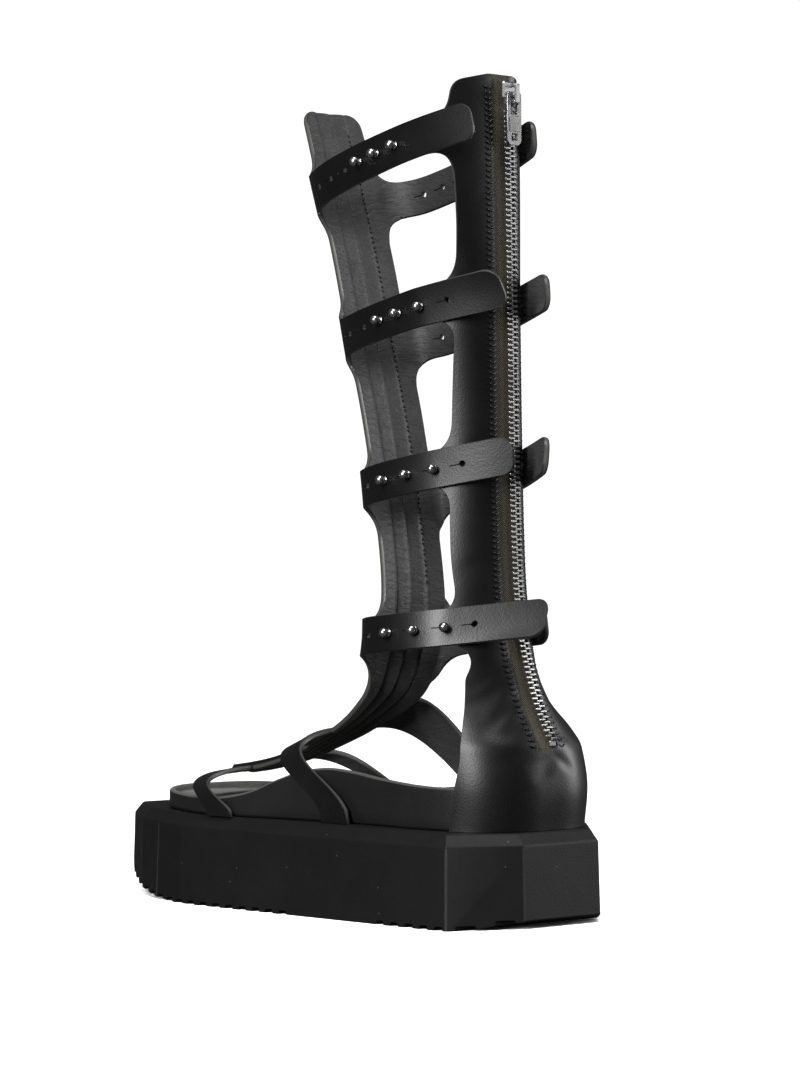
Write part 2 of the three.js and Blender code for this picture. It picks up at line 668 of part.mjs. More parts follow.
function makeStud(strap, side, index) {
  const s = firstStud(strap, side) + STUD_PITCH * index;
  const height = strap.height + strap.rise * s;
  const spot = onLeg(height, side, s);
  const normal = new THREE.Vector2(spot.heading.y, -spot.heading.x).multiplyScalar(side);
  const profile = STUD_PROFILE.map(([r, y]) => new THREE.Vector2(r * STUD_RADIUS / 2.4, y));
  const geometry = new THREE.LatheGeometry(profile, STUD_SIDES);
  const out = at(normal.x, normal.y, 0).normalize();
  const turn = new THREE.Quaternion().setFromUnitVectors(new THREE.Vector3(0, 1, 0), out);
  geometry.applyQuaternion(turn);
  const foot = at(spot.point.x, spot.point.y, height).addScaledVector(out, LEATHER + STUD_CLEAR);
  geometry.translate(foot.x, foot.y, foot.z);
  return toManifold(geometry);
}

// ---- assembly -----------------------------------------------------------------------------------------------
const sandal = new THREE.Group();

function addPiece(name, body, colour) {
  const mesh = new THREE.Mesh(fromManifold(body), new THREE.MeshStandardMaterial(COLOURS[colour]));
  mesh.name = name;
  sandal.add(mesh);
}

const upperBack = makeUpperBack();
addPiece('outsole', makeOutsole(), 'rubber');
addPiece('footbed', makeFootbed(), 'leather');
addPiece('insole', makeInsole(), 'lining');
addPiece('upper_front', makeUpperFront(), 'leather');
addPiece('upper_back', upperBack, 'leather');
const tapeEdges = [GAP - ZIP_OUTER_EDGE, ZIP_INNER_EDGE - GAP];
addPiece('zip_tape', zipStrip(tapeEdges, 1.6, 2.4, ZIP_BOTTOM + GAP, TOP_HEIGHT), 'tape');
const chainEdges = besideChain(CHAIN_HALF);
addPiece('zip_chain', zipStrip(chainEdges, -0.3, 1.3, ZIP_BOTTOM + 4, SLIDER_LOW - GAP), 'nickel');
addPiece('zip_slider', makeSlider(), 'nickel');
addPiece('zip_pull_tab', makePullTab(), 'nickel');
for (const side of [1, -1]) {
  for (const strap of SHAFT_STRAPS) {
    for (let index = 0; index < STUDS_PER_STRAP; index += 1) {
      const name = `stud_${side > 0 ? 'inner' : 'outer'}_${strap.name}_${index + 1}`;
      addPiece(name, makeStud(strap, side, index), 'nickel');
    }
  }
}

export default sandal;
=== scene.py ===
"""Gladiator sandal, right shoe: a ribbed shin panel with four studded straps a side, a zipped back piece
with a heel counter, and two straps over the foot, all set into a cupped footbed on a thick ridged rubber
sole. Places are worked out in millimetres as f (forward), n (towards the inner side) and u (up)."""

import bisect
import functools
import math

import bmesh
import bpy
from mathutils import Matrix, Vector


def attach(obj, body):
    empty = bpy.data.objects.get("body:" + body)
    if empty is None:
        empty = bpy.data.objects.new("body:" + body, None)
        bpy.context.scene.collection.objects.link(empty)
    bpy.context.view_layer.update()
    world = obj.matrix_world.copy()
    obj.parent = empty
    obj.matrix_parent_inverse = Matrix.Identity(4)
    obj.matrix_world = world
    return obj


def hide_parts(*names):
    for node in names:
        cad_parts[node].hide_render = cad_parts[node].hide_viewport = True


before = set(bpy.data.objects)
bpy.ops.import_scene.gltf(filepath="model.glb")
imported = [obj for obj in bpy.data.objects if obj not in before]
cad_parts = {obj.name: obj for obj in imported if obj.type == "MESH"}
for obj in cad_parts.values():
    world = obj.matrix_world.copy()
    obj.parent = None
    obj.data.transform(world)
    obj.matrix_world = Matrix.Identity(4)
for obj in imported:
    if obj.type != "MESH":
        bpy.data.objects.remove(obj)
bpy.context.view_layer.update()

# ---- studio ----
# A white paper floor that runs on into a white room. One large soft light hangs overhead and two upright
# soft boxes stand beside the shoe, so that black leather shows its shape by long pale reflections.
CAMERA_PLACE = (1.3343, 1.4403, 0.1866)
CAMERA_HEADING = (-0.6899, -0.7240, 0.0)
LENS = 131.56


def linear(code):
    """An sRGB hex colour as linear red, green, blue and alpha."""
    parts = [int(code[k:k + 2], 16) / 255 for k in (0, 2, 4)]
    return [p / 12.92 if p <= 0.04045 else ((p + 0.055) / 1.055) ** 2.4 for p in parts] + [1.0]


def add_node(tree, kind, sockets=None, **settings):
    """Adds a node; sockets gives inputs by name or number, each a value or a node's output to link."""
    node = tree.nodes.new("ShaderNode" + kind)
    for name, value in settings.items():
        setattr(node, name, value)
    for key, value in (sockets or {}).items():
        if isinstance(value, bpy.types.NodeSocket):
            tree.links.new(value, node.inputs[key])
        else:
            node.inputs[key].default_value = value
    return node


def new_material(name):
    material = bpy.data.materials.new(name)
    material.use_nodes = True
    tree = material.node_tree
    return material, tree, tree.nodes["Principled BSDF"]


def clouded_material(name, size, detail, tone_low, tone_high, broken=0.5):
    """A material whose colour drifts between two tones, in clouds of a size in metres."""
    material, tree, shader = new_material(name)
    spot = add_node(tree, "TexCoord").outputs["Object"]
    clouds = add_node(tree, "TexNoise", {"Vector": spot, "Scale": 1 / size, "Detail": detail,
                                         "Roughness": broken})
    tone = add_node(tree, "Mix", {0: clouds.outputs[0], 6: linear(tone_low), 7: linear(tone_high)},
                    data_type="RGBA")
    tree.links.new(tone.outputs[2], shader.inputs["Base Color"])
    return material, tree, shader, spot, clouds, tone


# Matt seamless paper: no gloss, very pale, with the faintest unevenness of the sheet. It has a lamp of
# its own, so the pale light it would throw back up on the black shoe is held down to a dark grey.
paper, tree, shader, *_, tone = clouded_material("studio_paper", 1 / 0.6, 2, "f7f7f7", "fafafa")
lit = add_node(tree, "LightPath")
held = add_node(tree, "Mix", {0: lit.outputs["Is Camera Ray"], 6: linear("2c2c2c"), 7: tone.outputs[2]},
                data_type="RGBA")
tree.links.new(held.outputs[2], shader.inputs["Base Color"])
shader.inputs["Roughness"].default_value = 0.95
shader.inputs["Specular IOR Level"].default_value = 0.1

floor_shape = bmesh.new()
bmesh.ops.create_circle(floor_shape, cap_ends=True, segments=64, radius=30)
floor_mesh = bpy.data.meshes.new("floor")
floor_shape.to_mesh(floor_mesh)
floor_shape.free()
floor_mesh.materials.append(paper)
studio_floor = bpy.data.objects.new("floor", floor_mesh)
bpy.context.scene.collection.objects.link(studio_floor)

room = bpy.data.worlds.new("white_room")
room.use_nodes = True
room.node_tree.nodes.clear()
seen = add_node(room.node_tree, "LightPath")
strength = add_node(room.node_tree, "Mix", {0: seen.outputs["Is Camera Ray"], 2: 0.07, 3: 1.1})
glow = add_node(room.node_tree, "Background", {"Color": (1, 1, 1, 1), "Strength": strength.outputs[0]})
add_node(room.node_tree, "OutputWorld", {"Surface": glow.outputs[0]})
bpy.context.scene.world = room
bpy.context.scene.view_settings.view_transform = "Standard"


def add_light(name, kind, place, target, **settings):
    lamp = bpy.data.lights.new(name, kind)
    for key, value in settings.items():
        setattr(lamp, key, value)
    holder = bpy.data.objects.new(name, lamp)
    holder.location = place
    holder.rotation_euler = (Vector(target) - Vector(place)).to_track_quat("-Z", "Y").to_euler()
    bpy.context.scene.collection.objects.link(holder)
    return holder


floor_wash = add_light("floor_wash", "SUN", (0.5, 0.7, 3), (0, 0, 0), energy=3.7, angle=1.3)
washed = bpy.data.collections.new("washed")
washed.objects.link(studio_floor)
floor_wash.light_linking.receiver_collection = washed
add_light("overhead", "AREA", (0.3, 0.5, 1.7), (0, 0, 0.15), energy=17, shape="SQUARE", size=0.8)
upright = {"shape": "RECTANGLE", "size": 0.3, "size_y": 0.9}
add_light("soft_box_left", "AREA", (1.6, 0.6, 0.75), (0, 0.05, 0.15), energy=34, **upright)
add_light("soft_box_right", "AREA", (-1.25, 0.75, 0.45), (0, 0.05, 0.2), energy=10, **upright)

camera = bpy.data.cameras.new("camera")
camera.lens = LENS
camera.sensor_width = 36
camera_holder = bpy.data.objects.new("camera", camera)
camera_holder.location = CAMERA_PLACE
camera_holder.rotation_euler = Vector(CAMERA_HEADING).to_track_quat("-Z", "Y").to_euler()
bpy.context.scene.collection.objects.link(camera_holder)
bpy.context.scene.camera = camera_holder

# ---- outsole ----
# Moulded black rubber unit with a faceted outline, a chamfered top edge and cross ribs under the toe and
# heel. The mould leaves its edges slightly round, and wear turns them grey.
MM = 0.001
WELD = 0.01 * MM
SOLE_THICK = 45
SOLE_EDGE_ROUND = 0.7
SOLE_EDGE_LEAST = 12
SOLE_EDGE_ANGLE = 9
WALL_EDGE_LEAST = 20


def place(f, n, u):
    return Vector((n, -f, u)) * MM


def shown(name, shape, *materials):
    """Makes a smooth shaded object from a bmesh."""
    mesh = bpy.data.meshes.new(name)
    shape.to_mesh(mesh)
    shape.free()
    for material in materials:
        mesh.materials.append(material)
    piece = bpy.data.objects.new(name, mesh)
    bpy.context.scene.collection.objects.link(piece)
    return piece


def rubber(name, tone_low, tone_high, roughness):
    """Matt moulded rubber: nearly black, a fine pitted skin, dusty patches and a few pale specks."""
    material, tree, shader, spot, dust, tone = clouded_material(name, 35 * MM, 6, tone_low, tone_high, 0.6)
    speck = add_node(tree, "TexVoronoi", {"Vector": spot, "Scale": 1 / (9 * MM)})
    near = add_node(tree, "Math", {0: speck.outputs["Distance"], 1: 0.045}, operation="LESS_THAN")
    faint = add_node(tree, "Math", {0: near.outputs[0], 1: 0.22}, operation="MULTIPLY")
    flecked = add_node(tree, "Mix", {0: faint.outputs[0], 6: tone.outputs[2], 7: linear("8a8a88")},
                       data_type="RGBA")
    tree.links.new(flecked.outputs[2], shader.inputs["Base Color"])
    pits = add_node(tree, "TexNoise", {"Vector": spot, "Scale": 1 / (0.9 * MM), "Detail": 3})
    waves = add_node(tree, "TexNoise", {"Vector": spot, "Scale": 1 / (22 * MM), "Detail": 2})
    both = add_node(tree, "Math", {0: waves.outputs[0], 1: 2.0, 2: pits.outputs[0]},
                    operation="MULTIPLY_ADD")
    skin = add_node(tree, "Bump", {"Height": both.outputs[0], "Strength": 0.35, "Distance": 0.25 * MM})
    tree.links.new(skin.outputs[0], shader.inputs["Normal"])
    worn = add_node(tree, "MapRange", {0: dust.outputs[0], 3: roughness - 0.07, 4: roughness + 0.1})
    tree.links.new(worn.outputs[0], shader.inputs["Roughness"])
    shader.inputs["Specular IOR Level"].default_value = 0.32
    return material


sole_rubber = rubber("moulded_rubber", "0b0b0c", "151516", 0.55)
scuffed_rubber = rubber("scuffed_rubber", "101010", "3c3c3c", 0.72)

sole = bmesh.new()
sole.from_mesh(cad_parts["outsole"].data)
bmesh.ops.remove_doubles(sole, verts=sole.verts, dist=WELD)
bmesh.ops.dissolve_limit(sole, angle_limit=math.radians(1.5), verts=sole.verts, edges=sole.edges)
sharp = [edge for edge in sole.edges
         if len(edge.link_faces) == 2 and edge.calc_length() > SOLE_EDGE_LEAST * MM
         and edge.calc_face_angle() > math.radians(SOLE_EDGE_ANGLE)]
rounded = bmesh.ops.bevel(sole, geom=sharp, affect="EDGES", offset=SOLE_EDGE_ROUND * MM, segments=2,
                          profile=0.5, material=-1)
for face in rounded["faces"]:
    climb = max(abs(edge.verts[0].co.z - edge.verts[1].co.z) for edge in face.edges)
    face.material_index = 1 if climb > WALL_EDGE_LEAST * MM else 0
outsole = shown("outsole_unit", sole, sole_rubber, scuffed_rubber)
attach(outsole, "sandal")
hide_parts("outsole")

# ---- footbed ----
# Cup shaped footbed wrapped in smooth black leather outside and pale grey suede inside. It is cemented to
# the outsole, and the foot straps run down outside its wall into the joint.
GAP = 0.3
FOOTBED_BASE = SOLE_THICK + GAP
FOOTBED_WALL = 3.2
FOOTBED_FLOOR = 4.5
# Forward place, inner and outer half width, inner and outer rim height, from heel to toe.
FOOTBED = [
    (-140.8, 9, 9, 65.5, 64), (-138.4, 20, 20, 65.5, 64), (-131.6, 30.6, 30.6, 65.5, 64),
    (-120, 38.7, 38.7, 65.8, 64), (-99, 42.4, 42.4, 66.2, 63.5), (-70, 41, 42, 68.2, 62),
    (-47, 40, 42.5, 70.8, 60), (-30, 40.6, 43.8, 71.6, 58.5), (-14, 42.6, 45.4, 69.6, 57),
    (2, 45.4, 47, 64.6, 56), (18, 48.2, 48.4, 58.4, 55), (38, 50, 48.4, 54.6, 54.5),
    (58, 48.4, 45.6, 54, 55), (80, 41.6, 38.4, 54.3, 56), (98, 32.4, 29, 55, 56.5),
    (108, 22, 19, 55.6, 56.3), (113, 9, 7, 56, 56),
]


def read_table(rows, key, column):
    """Reads a column of a table at a key, on a smooth curve that never overshoots the rows."""
    last = len(rows) - 1
    if key <= rows[0][0]:
        return rows[0][column]
    if key >= rows[last][0]:
        return rows[last][column]
    i = next(k for k in range(last) if rows[k + 1][0] > key)

    def slope(k):
        return (rows[k + 1][column] - rows[k][column]) / (rows[k + 1][0] - rows[k][0])

    def tangent(k):
        if k in (0, last):
            return slope(min(k, last - 1))
        a, b = slope(k - 1), slope(k)
        return 0 if a * b <= 0 else 2 * a * b / (a + b)

    step = rows[i + 1][0] - rows[i][0]
    t = (key - rows[i][0]) / step
    return ((2 * t ** 3 - 3 * t ** 2 + 1) * rows[i][column] + (t ** 3 - 2 * t ** 2 + t) * step * tangent(i)
            + (3 * t ** 2 - 2 * t ** 3) * rows[i + 1][column] + (t ** 3 - t ** 2) * step * tangent(i + 1))


def on_curve(points, t, closed=False):
    """A point on a smooth curve through the points, t counted in points."""
    count = len(points)
    k = math.floor(t) if closed else min(math.floor(t), count - 2)
    around = [points[(k + d) % count if closed else min(max(k + d, 0), count - 1)] for d in (-1, 0, 1, 2)]
    w = t - k
    return [0.5 * (2 * q + (r - p) * w + (2 * p - 5 * q + 4 * r - s) * w ** 2
                   + (3 * q - p - 3 * r + s) * w ** 3) for p, q, r, s in zip(*around)]


def sheet(columns, rows, spot):
    """A grid whose vertices are put in place by spot(a, b), with a across and b along, both from 0 to 1."""
    shape = bmesh.new()
    bmesh.ops.create_grid(shape, x_segments=columns, y_segments=rows, size=0.5)
    for vertex in shape.verts:
        vertex.co = spot(vertex.co.x + 0.5, vertex.co.y + 0.5)
    return shape


def smooth(shape):
    for face in shape.faces:
        face.smooth = True


FOOT_RING = ([(row[0], row[1], row[3]) for row in FOOTBED]
             + [(row[0], -row[2], row[4]) for row in reversed(FOOTBED)])


def foot_outline(share, inset):
    """Outline place and rim height, share of the way round from the heel, moved inwards by inset."""
    t = share * len(FOOT_RING)
    f, n, rim = on_curve(FOOT_RING, t, closed=True)
    before = on_curve(FOOT_RING, t - 0.02, closed=True)
    after = on_curve(FOOT_RING, t + 0.02, closed=True)
    along = Vector((after[0] - before[0], after[1] - before[1])).normalized()
    return f + along.y * inset, n - along.x * inset, rim


# Cross-section of the cup: inset from the outline, and height as a base, a share of the wall and an extra.
LIP = FOOTBED_WALL / 2
CUP_SECTION = [(1.2, 0, 0), (0.3, 0, 0.2), (0, 0, 1.2), (0, 0.25, 0), (0, 0.5, 0), (0, 0.75, 0),
               (0, 1, -LIP)]
CUP_SECTION += [(LIP - LIP * math.cos(turn * math.pi / 8), 1, LIP * (math.sin(turn * math.pi / 8) - 1))
                for turn in range(1, 8)]
CUP_SECTION += [(FOOTBED_WALL, 1, -LIP), (FOOTBED_WALL, 0.75, 0), (FOOTBED_WALL + 0.1, 0.55, 0),
                (FOOTBED_WALL + 0.3, 0, FOOTBED_FLOOR + 3), (FOOTBED_WALL + 1.2, 0, FOOTBED_FLOOR + 1),
                (FOOTBED_WALL + 3.5, 0, FOOTBED_FLOOR)]


def cup_spot(a, b):
    inset, share, extra = CUP_SECTION[round(b * (len(CUP_SECTION) - 1))]
    f, n, rim = foot_outline(a, inset)
    return place(f, n, FOOTBED_BASE + share * (rim - FOOTBED_BASE) + extra)


def grain_leather(name, tone_low, tone_high, roughness, grain=0.9, wrinkle=0.5):
    """Waxed black cow leather: fine pebbled grain, soft pulls, a dull polish and paler cut edges (raw tone
    plus painted highlight).
    """
    material, tree, shader, spot, clouds, tone = clouded_material(name, 28 * MM, 5, tone_low, tone_high, 0.6)
    # The cut edge is painted paler: partly the raw edge's own tone, partly a painted highlight along the
    # edge.
    edge = add_node(tree, "Attribute", attribute_name="raw_edge_and_highlight")
    colour = add_node(tree, "Mix", {0: edge.outputs["Fac"], 6: tone.outputs[2], 7: linear("4e4d4a")},
                      data_type="RGBA")
    tree.links.new(colour.outputs[2], shader.inputs["Base Color"])
    pebbles = add_node(tree, "TexVoronoi", {"Vector": spot, "Scale": 1 / (grain * MM)})
    pulls = add_node(tree, "TexNoise", {"Vector": spot, "Scale": 1 / (7 * MM), "Detail": 4,
                                        "Distortion": 0.6})
    height = add_node(tree, "Math", {0: pulls.outputs[0], 1: wrinkle * 3, 2: pebbles.outputs["Distance"]},
                      operation="MULTIPLY_ADD")
    skin = add_node(tree, "Bump", {"Height": height.outputs[0], "Strength": 0.22, "Distance": 0.14 * MM})
    tree.links.new(skin.outputs[0], shader.inputs["Normal"])
    dull = add_node(tree, "MapRange", {0: clouds.outputs[0], 3: roughness - 0.06, 4: roughness + 0.08})
    tree.links.new(dull.outputs[0], shader.inputs["Roughness"])
    shader.inputs["Specular IOR Level"].default_value = 0.45
    return material


def suede(name, tone_low, tone_high, nap):
    """Split pigskin with a short nap: no gloss, cloudy, fine fibres all over."""
    material, tree, shader, spot, *_ = clouded_material(name, 14 * MM, 8, tone_low, tone_high, 0.7)
    fibres = add_node(tree, "TexNoise", {"Vector": spot, "Scale": 1 / (nap * MM), "Detail": 4})
    skin = add_node(tree, "Bump", {"Height": fibres.outputs[0], "Strength": 0.5, "Distance": 0.3 * MM})
    tree.links.new(skin.outputs[0], shader.inputs["Normal"])
    shader.inputs["Roughness"].default_value = 0.95
    shader.inputs["Specular IOR Level"].default_value = 0.15
    shader.inputs["Sheen Weight"].default_value = 0.15
    return material


wrap_leather = grain_leather("footbed_leather", "131314", "1e1e1f", 0.42, wrinkle=0.3)
grey_suede = suede("grey_suede", "3a3a39", "5c5b58", 0.8)

cup = sheet(220, len(CUP_SECTION) - 1, cup_spot)
bmesh.ops.remove_doubles(cup, verts=cup.verts, dist=WELD)
bmesh.ops.edgeloop_fill(cup, edges=[edge for edge in cup.edges if edge.is_boundary])
bmesh.ops.recalc_face_normals(cup, faces=cup.faces)
for face in cup.faces:
    n, back, height = face.calc_center_median() / MM
    inward = -n * face.normal.x - back * face.normal.y * 0.6
    inside = height > FOOTBED_BASE + 1 and (inward > 4 or face.normal.z > 0.3)
    face.material_index = 1 if inside else 0
smooth(cup)
footbed = shown("footbed_cup", cup, wrap_leather, grey_suede)
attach(footbed, "sandal")
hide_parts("footbed")

# ---- insole ----
# Soft grey pad, die cut to the footbed's floor and cemented down in it. It is faced with the same suede
# as the footbed, and its edge is turned over.
INSOLE_BASE = FOOTBED_BASE + FOOTBED_FLOOR + GAP
INSOLE_EDGE = 4
# Cross-section of the pad: inset from the footbed's outline, and height.
INSOLE_SECTION = [(5, 0), (4, 0.3), (4, 1.7), (4.8, 2.4), (8, 2.5), (16, 2.4), (26, 2.3)]


def insole_spot(a, b):
    inset, rise = INSOLE_SECTION[round(b * (len(INSOLE_SECTION) - 1))]
    f, n, rim = foot_outline(a, min(inset, INSOLE_EDGE))
    pull = max(0, inset - INSOLE_EDGE) / 42
    return place(f * (1 - pull), n * (1 - pull), INSOLE_BASE + rise)


pad = sheet(160, len(INSOLE_SECTION) - 1, insole_spot)
bmesh.ops.remove_doubles(pad, verts=pad.verts, dist=WELD)
bmesh.ops.edgeloop_fill(pad, edges=[edge for edge in pad.edges if edge.is_boundary])
bmesh.ops.recalc_face_normals(pad, faces=pad.faces)
smooth(pad)
insole = shown("insole_pad", pad, grey_suede)
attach(insole, "sandal")
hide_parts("insole")

# ---- back piece ----
# Two calf panels and the heel counter, cut in one from thick black leather and lasted round the heel. Short
# wings run forward under the straps, and the zip is sewn in between the panels.
LEATHER = 2.6
LAP_GAP = 0.5
PANEL_HALF = 20
PANEL_CROWN = 2.5
ZIP_INNER_EDGE = 8.2
ZIP_OUTER_EDGE = 5.4
ZIP_BOTTOM = 84
TOP_HEIGHT = 408
TOP_DIP = 4.6
TOP_ROUND = 7
COUNTER_TOP = 132
COUNTER_BLEND = 16
STRAPS_ABOVE = 110
STRAP_FILLET = 13
QUARTER_STEPS = 44
# The leg form by height: shin and zip lines, then half width and where it is reached for the inner and the
# outer side, and the exponent of the back corners.
LEG = [
    (45, -40, -145.5, 47.6, -100, 46.6, -100, 2.2), (64, -40, -147.2, 47.6, -100, 47.2, -100, 2.25),
    (84, -40, -145.2, 47.2, -99, 45.7, -99, 2.1), (92, -40, -140.7, 46.8, -97, 42.2, -97, 2.05),
    (106, -40, -133.4, 46.2, -91, 29.2, -91, 2), (120, -41.5, -128.2, 45.6, -84, 22.2, -84, 2),
    (140, -46.8, -122.8, 45.2, -76, 22.2, -84, 2), (168, -48.0, -119.8, 41.2, -70, 23.2, -72, 2),
    (215, -39.0, -117.8, 37.2, -70, 25.2, -60, 2), (292, -20.6, -116.2, 35.2, -84, 28.2, -40, 2),
    (372, 2.0, -114.4, 44.7, -93, 34.2, -25, 2), (408, 12.2, -112.6, 42.2, -93, 32.2, -28, 2),
]
# The shaft straps: height of the middle at the shin panel, rise per mm, then for the inner and the outer
# side the distance of the first stud, the length past the last stud and the bend of that free end.
SHAFT_STRAPS = [
    (352.6, 0.212, (66, 66), (45, 31), (18, 4)), (281.0, 0.192, (47, 47), (42, 42), (14, 4)),
    (205.6, 0.180, (38, 38), (38, 40), (10, 6)), (134.0, 0.108, (47, 33), (48, 19), (4, -10)),
]
WING_HALF = 7.5
WING_PAST_STUD = 8
WING_TIP_ROUND = 5
# Height and forward edge of the counter, then height and width of a calf panel beside the zip.
COUNTER_EDGE = [(45, -120), (66, -123), (80, -124.8), (92, -123.6), (107, -121.2), (118, -119)]
BACK_PANEL = [(130, 21), (180, 26), (250, 23.5), (330, 21), (385, 24), (408, 23)]


def zip_edge(side):
    return ZIP_INNER_EDGE if side > 0 else ZIP_OUTER_EDGE


@functools.lru_cache(maxsize=4096)
def leg_half(u, side):
    """Half of the leg form's plan at a height, from the shin panel's edge round to the zip's edge."""
    half = read_table(LEG, u, 3 if side > 0 else 5)
    widest = read_table(LEG, u, 4 if side > 0 else 6)
    front = read_table(LEG, u, 1) - PANEL_CROWN
    back = read_table(LEG, u, 2)
    power = 2 / read_table(LEG, u, 7)
    points = []
    for k in range(QUARTER_STEPS + 1):
        turn = k / QUARTER_STEPS * math.pi / 2
        n = PANEL_HALF + (half - PANEL_HALF) * math.sin(turn)
        points.append(Vector((widest + (front - widest) * math.cos(turn), side * n)))
    for k in range(1, QUARTER_STEPS + 1):
        turn = k / QUARTER_STEPS * math.pi / 2
        n = zip_edge(side) + (half - zip_edge(side)) * max(math.cos(turn), 0) ** power
        points.append(Vector((widest - (widest - back) * math.sin(turn) ** power, side * n)))
    return points


def of_side(pair, side):
    return pair[0] if side > 0 else pair[1]


def leg_length(u, side):
    plan = leg_half(u, side)
    return sum((b - a).length for a, b in zip(plan, plan[1:]))


def along_plan(points, s):
    """Point and heading s mm along a row of plan points."""
    rest = s
    k = 1
    while k < len(points) - 1 and rest > (points[k] - points[k - 1]).length:
        rest -= (points[k] - points[k - 1]).length
        k += 1
    step = points[k] - points[k - 1]
    share = min(max(rest / step.length, 0), 1)
    ahead = (points[min(k + 1, len(points) - 1)] - points[k - 1]).normalized()
    behind = (points[k] - points[max(k - 2, 0)]).normalized()
    return points[k - 1] + step.normalized() * rest, behind.lerp(ahead, share).normalized()


def soft_min(a, b, reach):
    """The smaller of two distances, rounded where they meet."""
    near = max(reach - abs(a - b), 0) / reach
    return min(a, b) - near * near * reach / 4


def soft_max(a, b, reach):
    return -soft_min(-a, -b, reach)


def ease(share):
    """Runs smoothly from 0 to 1 as share does."""
    share = min(max(share, 0), 1)
    return share * share * (3 - 2 * share)


@functools.lru_cache(maxsize=4096)
def panel_width(u, side):
    """How far the back piece reaches forward from the zip's edge at a height."""
    panel = read_table(BACK_PANEL, u, 1)
    if u > COUNTER_TOP:
        return panel
    plan = leg_half(u, side)[::-1]
    edge = read_table(COUNTER_EDGE, u, 1)
    reach = 0
    for a, b in zip(plan, plan[1:]):
        if b.x >= edge:
            reach += (b - a).length * (edge - a.x) / (b.x - a.x)
            break
        reach += (b - a).length
    return reach + (panel - reach) * ease((u - (COUNTER_TOP - COUNTER_BLEND)) / COUNTER_BLEND)


def outside_back(x, u):
    """Distance outside the back piece's cutting line; x runs round the form from the middle of the back."""
    side = 1 if x >= 0 else -1
    w = abs(x) - zip_edge(side)
    u = round(u, 2)
    result = w - panel_width(u, side)
    if u > STRAPS_ABOVE and w > 0:
        s = leg_length(u, side) - w
        for height, rise, first_studs, tails, bends in SHAFT_STRAPS:
            middle = height + rise * s
            bar = abs(u - middle) - WING_HALF
            tip = of_side(first_studs, side) - WING_PAST_STUD - s
            result = soft_min(result, soft_max(bar, tip, WING_TIP_ROUND), STRAP_FILLET)
    crest = TOP_HEIGHT - TOP_DIP * min(max(w, 0) / 22, 1)
    return max(soft_max(result, u - crest, TOP_ROUND), -max(w, ZIP_BOTTOM - u))


def cut_out(shape, outside):
    """Cuts a flat sheet along the line where outside(x, y) is zero and throws the waste away."""
    far = {vertex: outside(vertex.co.x, vertex.co.y) for vertex in shape.verts}
    crossed = []
    for edge in list(shape.edges):
        a, b = edge.verts
        if far[a] * far[b] < 0:
            crossed.append((edge, a, far[a] / (far[a] - far[b])))
    fresh = []
    for edge, start, share in crossed:
        made = bmesh.utils.edge_split(edge, start, share)[1]
        far[made] = 0
        fresh.append(made)
    on_line = fresh + [v for v, d in far.items() if d == 0 and v not in fresh]
    bmesh.ops.connect_verts(shape, verts=on_line)
    bmesh.ops.delete(shape, geom=[v for v, d in far.items() if d > 0], context="VERTS")
    loose = [v for v in shape.verts if not v.link_faces]
    bmesh.ops.delete(shape, geom=loose, context="VERTS")


def shape_leather(shape, spot, thick, round_by=0.35, soften=3):
    """Bends a flat cut sheet into place by spot(x, y), thickens it inwards and rounds its cut edge."""
    across = shape.verts.layers.float.new("across")
    along = shape.verts.layers.float.new("along")
    inward = shape.verts.layers.float_vector.new("inward")
    # Marks the rim for the paler tone that is partly the raw edge and partly a painted highlight.
    edge_tone_and_highlight_layer = shape.verts.layers.float.new("raw_edge_and_highlight")
    for vertex in shape.verts:
        vertex[across], vertex[along] = vertex.co.x, vertex.co.y
        vertex.co = spot(vertex.co.x, vertex.co.y)
    inside = [vertex for vertex in shape.verts if not vertex.is_boundary]
    for _ in range(soften):
        bmesh.ops.smooth_vert(shape, verts=inside, factor=0.5, use_axis_x=True, use_axis_y=True,
                              use_axis_z=True)
    shape.normal_update()
    for vertex in shape.verts:
        vertex[inward] = vertex.normal
    skin = list(shape.faces)
    made = bmesh.ops.extrude_face_region(shape, geom=skin, use_keep_orig=True)["geom"]
    lining = [item for item in made if isinstance(item, bmesh.types.BMFace)]
    inner = {item for item in made if isinstance(item, bmesh.types.BMVert)}
    for vertex in inner:
        vertex.co += vertex[inward] * thick * MM
    for face in lining:
        face.material_index = 1
    known = set(skin) | set(lining)
    rim = [face for face in shape.faces if face not in known]
    bmesh.ops.recalc_face_normals(shape, faces=shape.faces)
    for face in rim:
        face.normal_update()
    through = []
    for edge in dict.fromkeys(edge for face in rim for edge in face.edges):
        if (edge.verts[0] in inner) != (edge.verts[1] in inner):
            through.append(edge)
        else:
            edge.smooth = False
    cut = bmesh.ops.subdivide_edges(shape, edges=through, cuts=2, use_grid_fill=True)
    middle = [item for item in cut["geom_inner"] if isinstance(item, bmesh.types.BMVert)]
    shape.normal_update()
    # The rim's middle rows are pushed out to round the edge and marked to be painted paler, partly raw tone
    # and partly painted highlight.
    for vertex in middle:
        vertex.co += vertex.normal * round_by * MM
        vertex[edge_tone_and_highlight_layer] = 1
    pattern = shape.loops.layers.uv.new("pattern")
    for face in shape.faces:
        face.smooth = True
        for loop in face.loops:
            loop[pattern].uv = (loop.vert[across] * MM, loop.vert[along] * MM)


def even_steps(stops, step):
    """Numbers from stop to stop with an even step, every stop kept."""
    values = [stops[0]]
    for a, b in zip(stops, stops[1:]):
        count = max(1, round((b - a) / step))
        values += [a + (b - a) * k / count for k in range(1, count + 1)]
    return values


def flat_leather(columns, rows):
    """A flat sheet with grid lines at the given places."""
    return sheet(len(columns) - 1, len(rows) - 1, lambda a, b: Vector(
        (columns[round(a * (len(columns) - 1))], rows[round(b * (len(rows) - 1))], 0)))


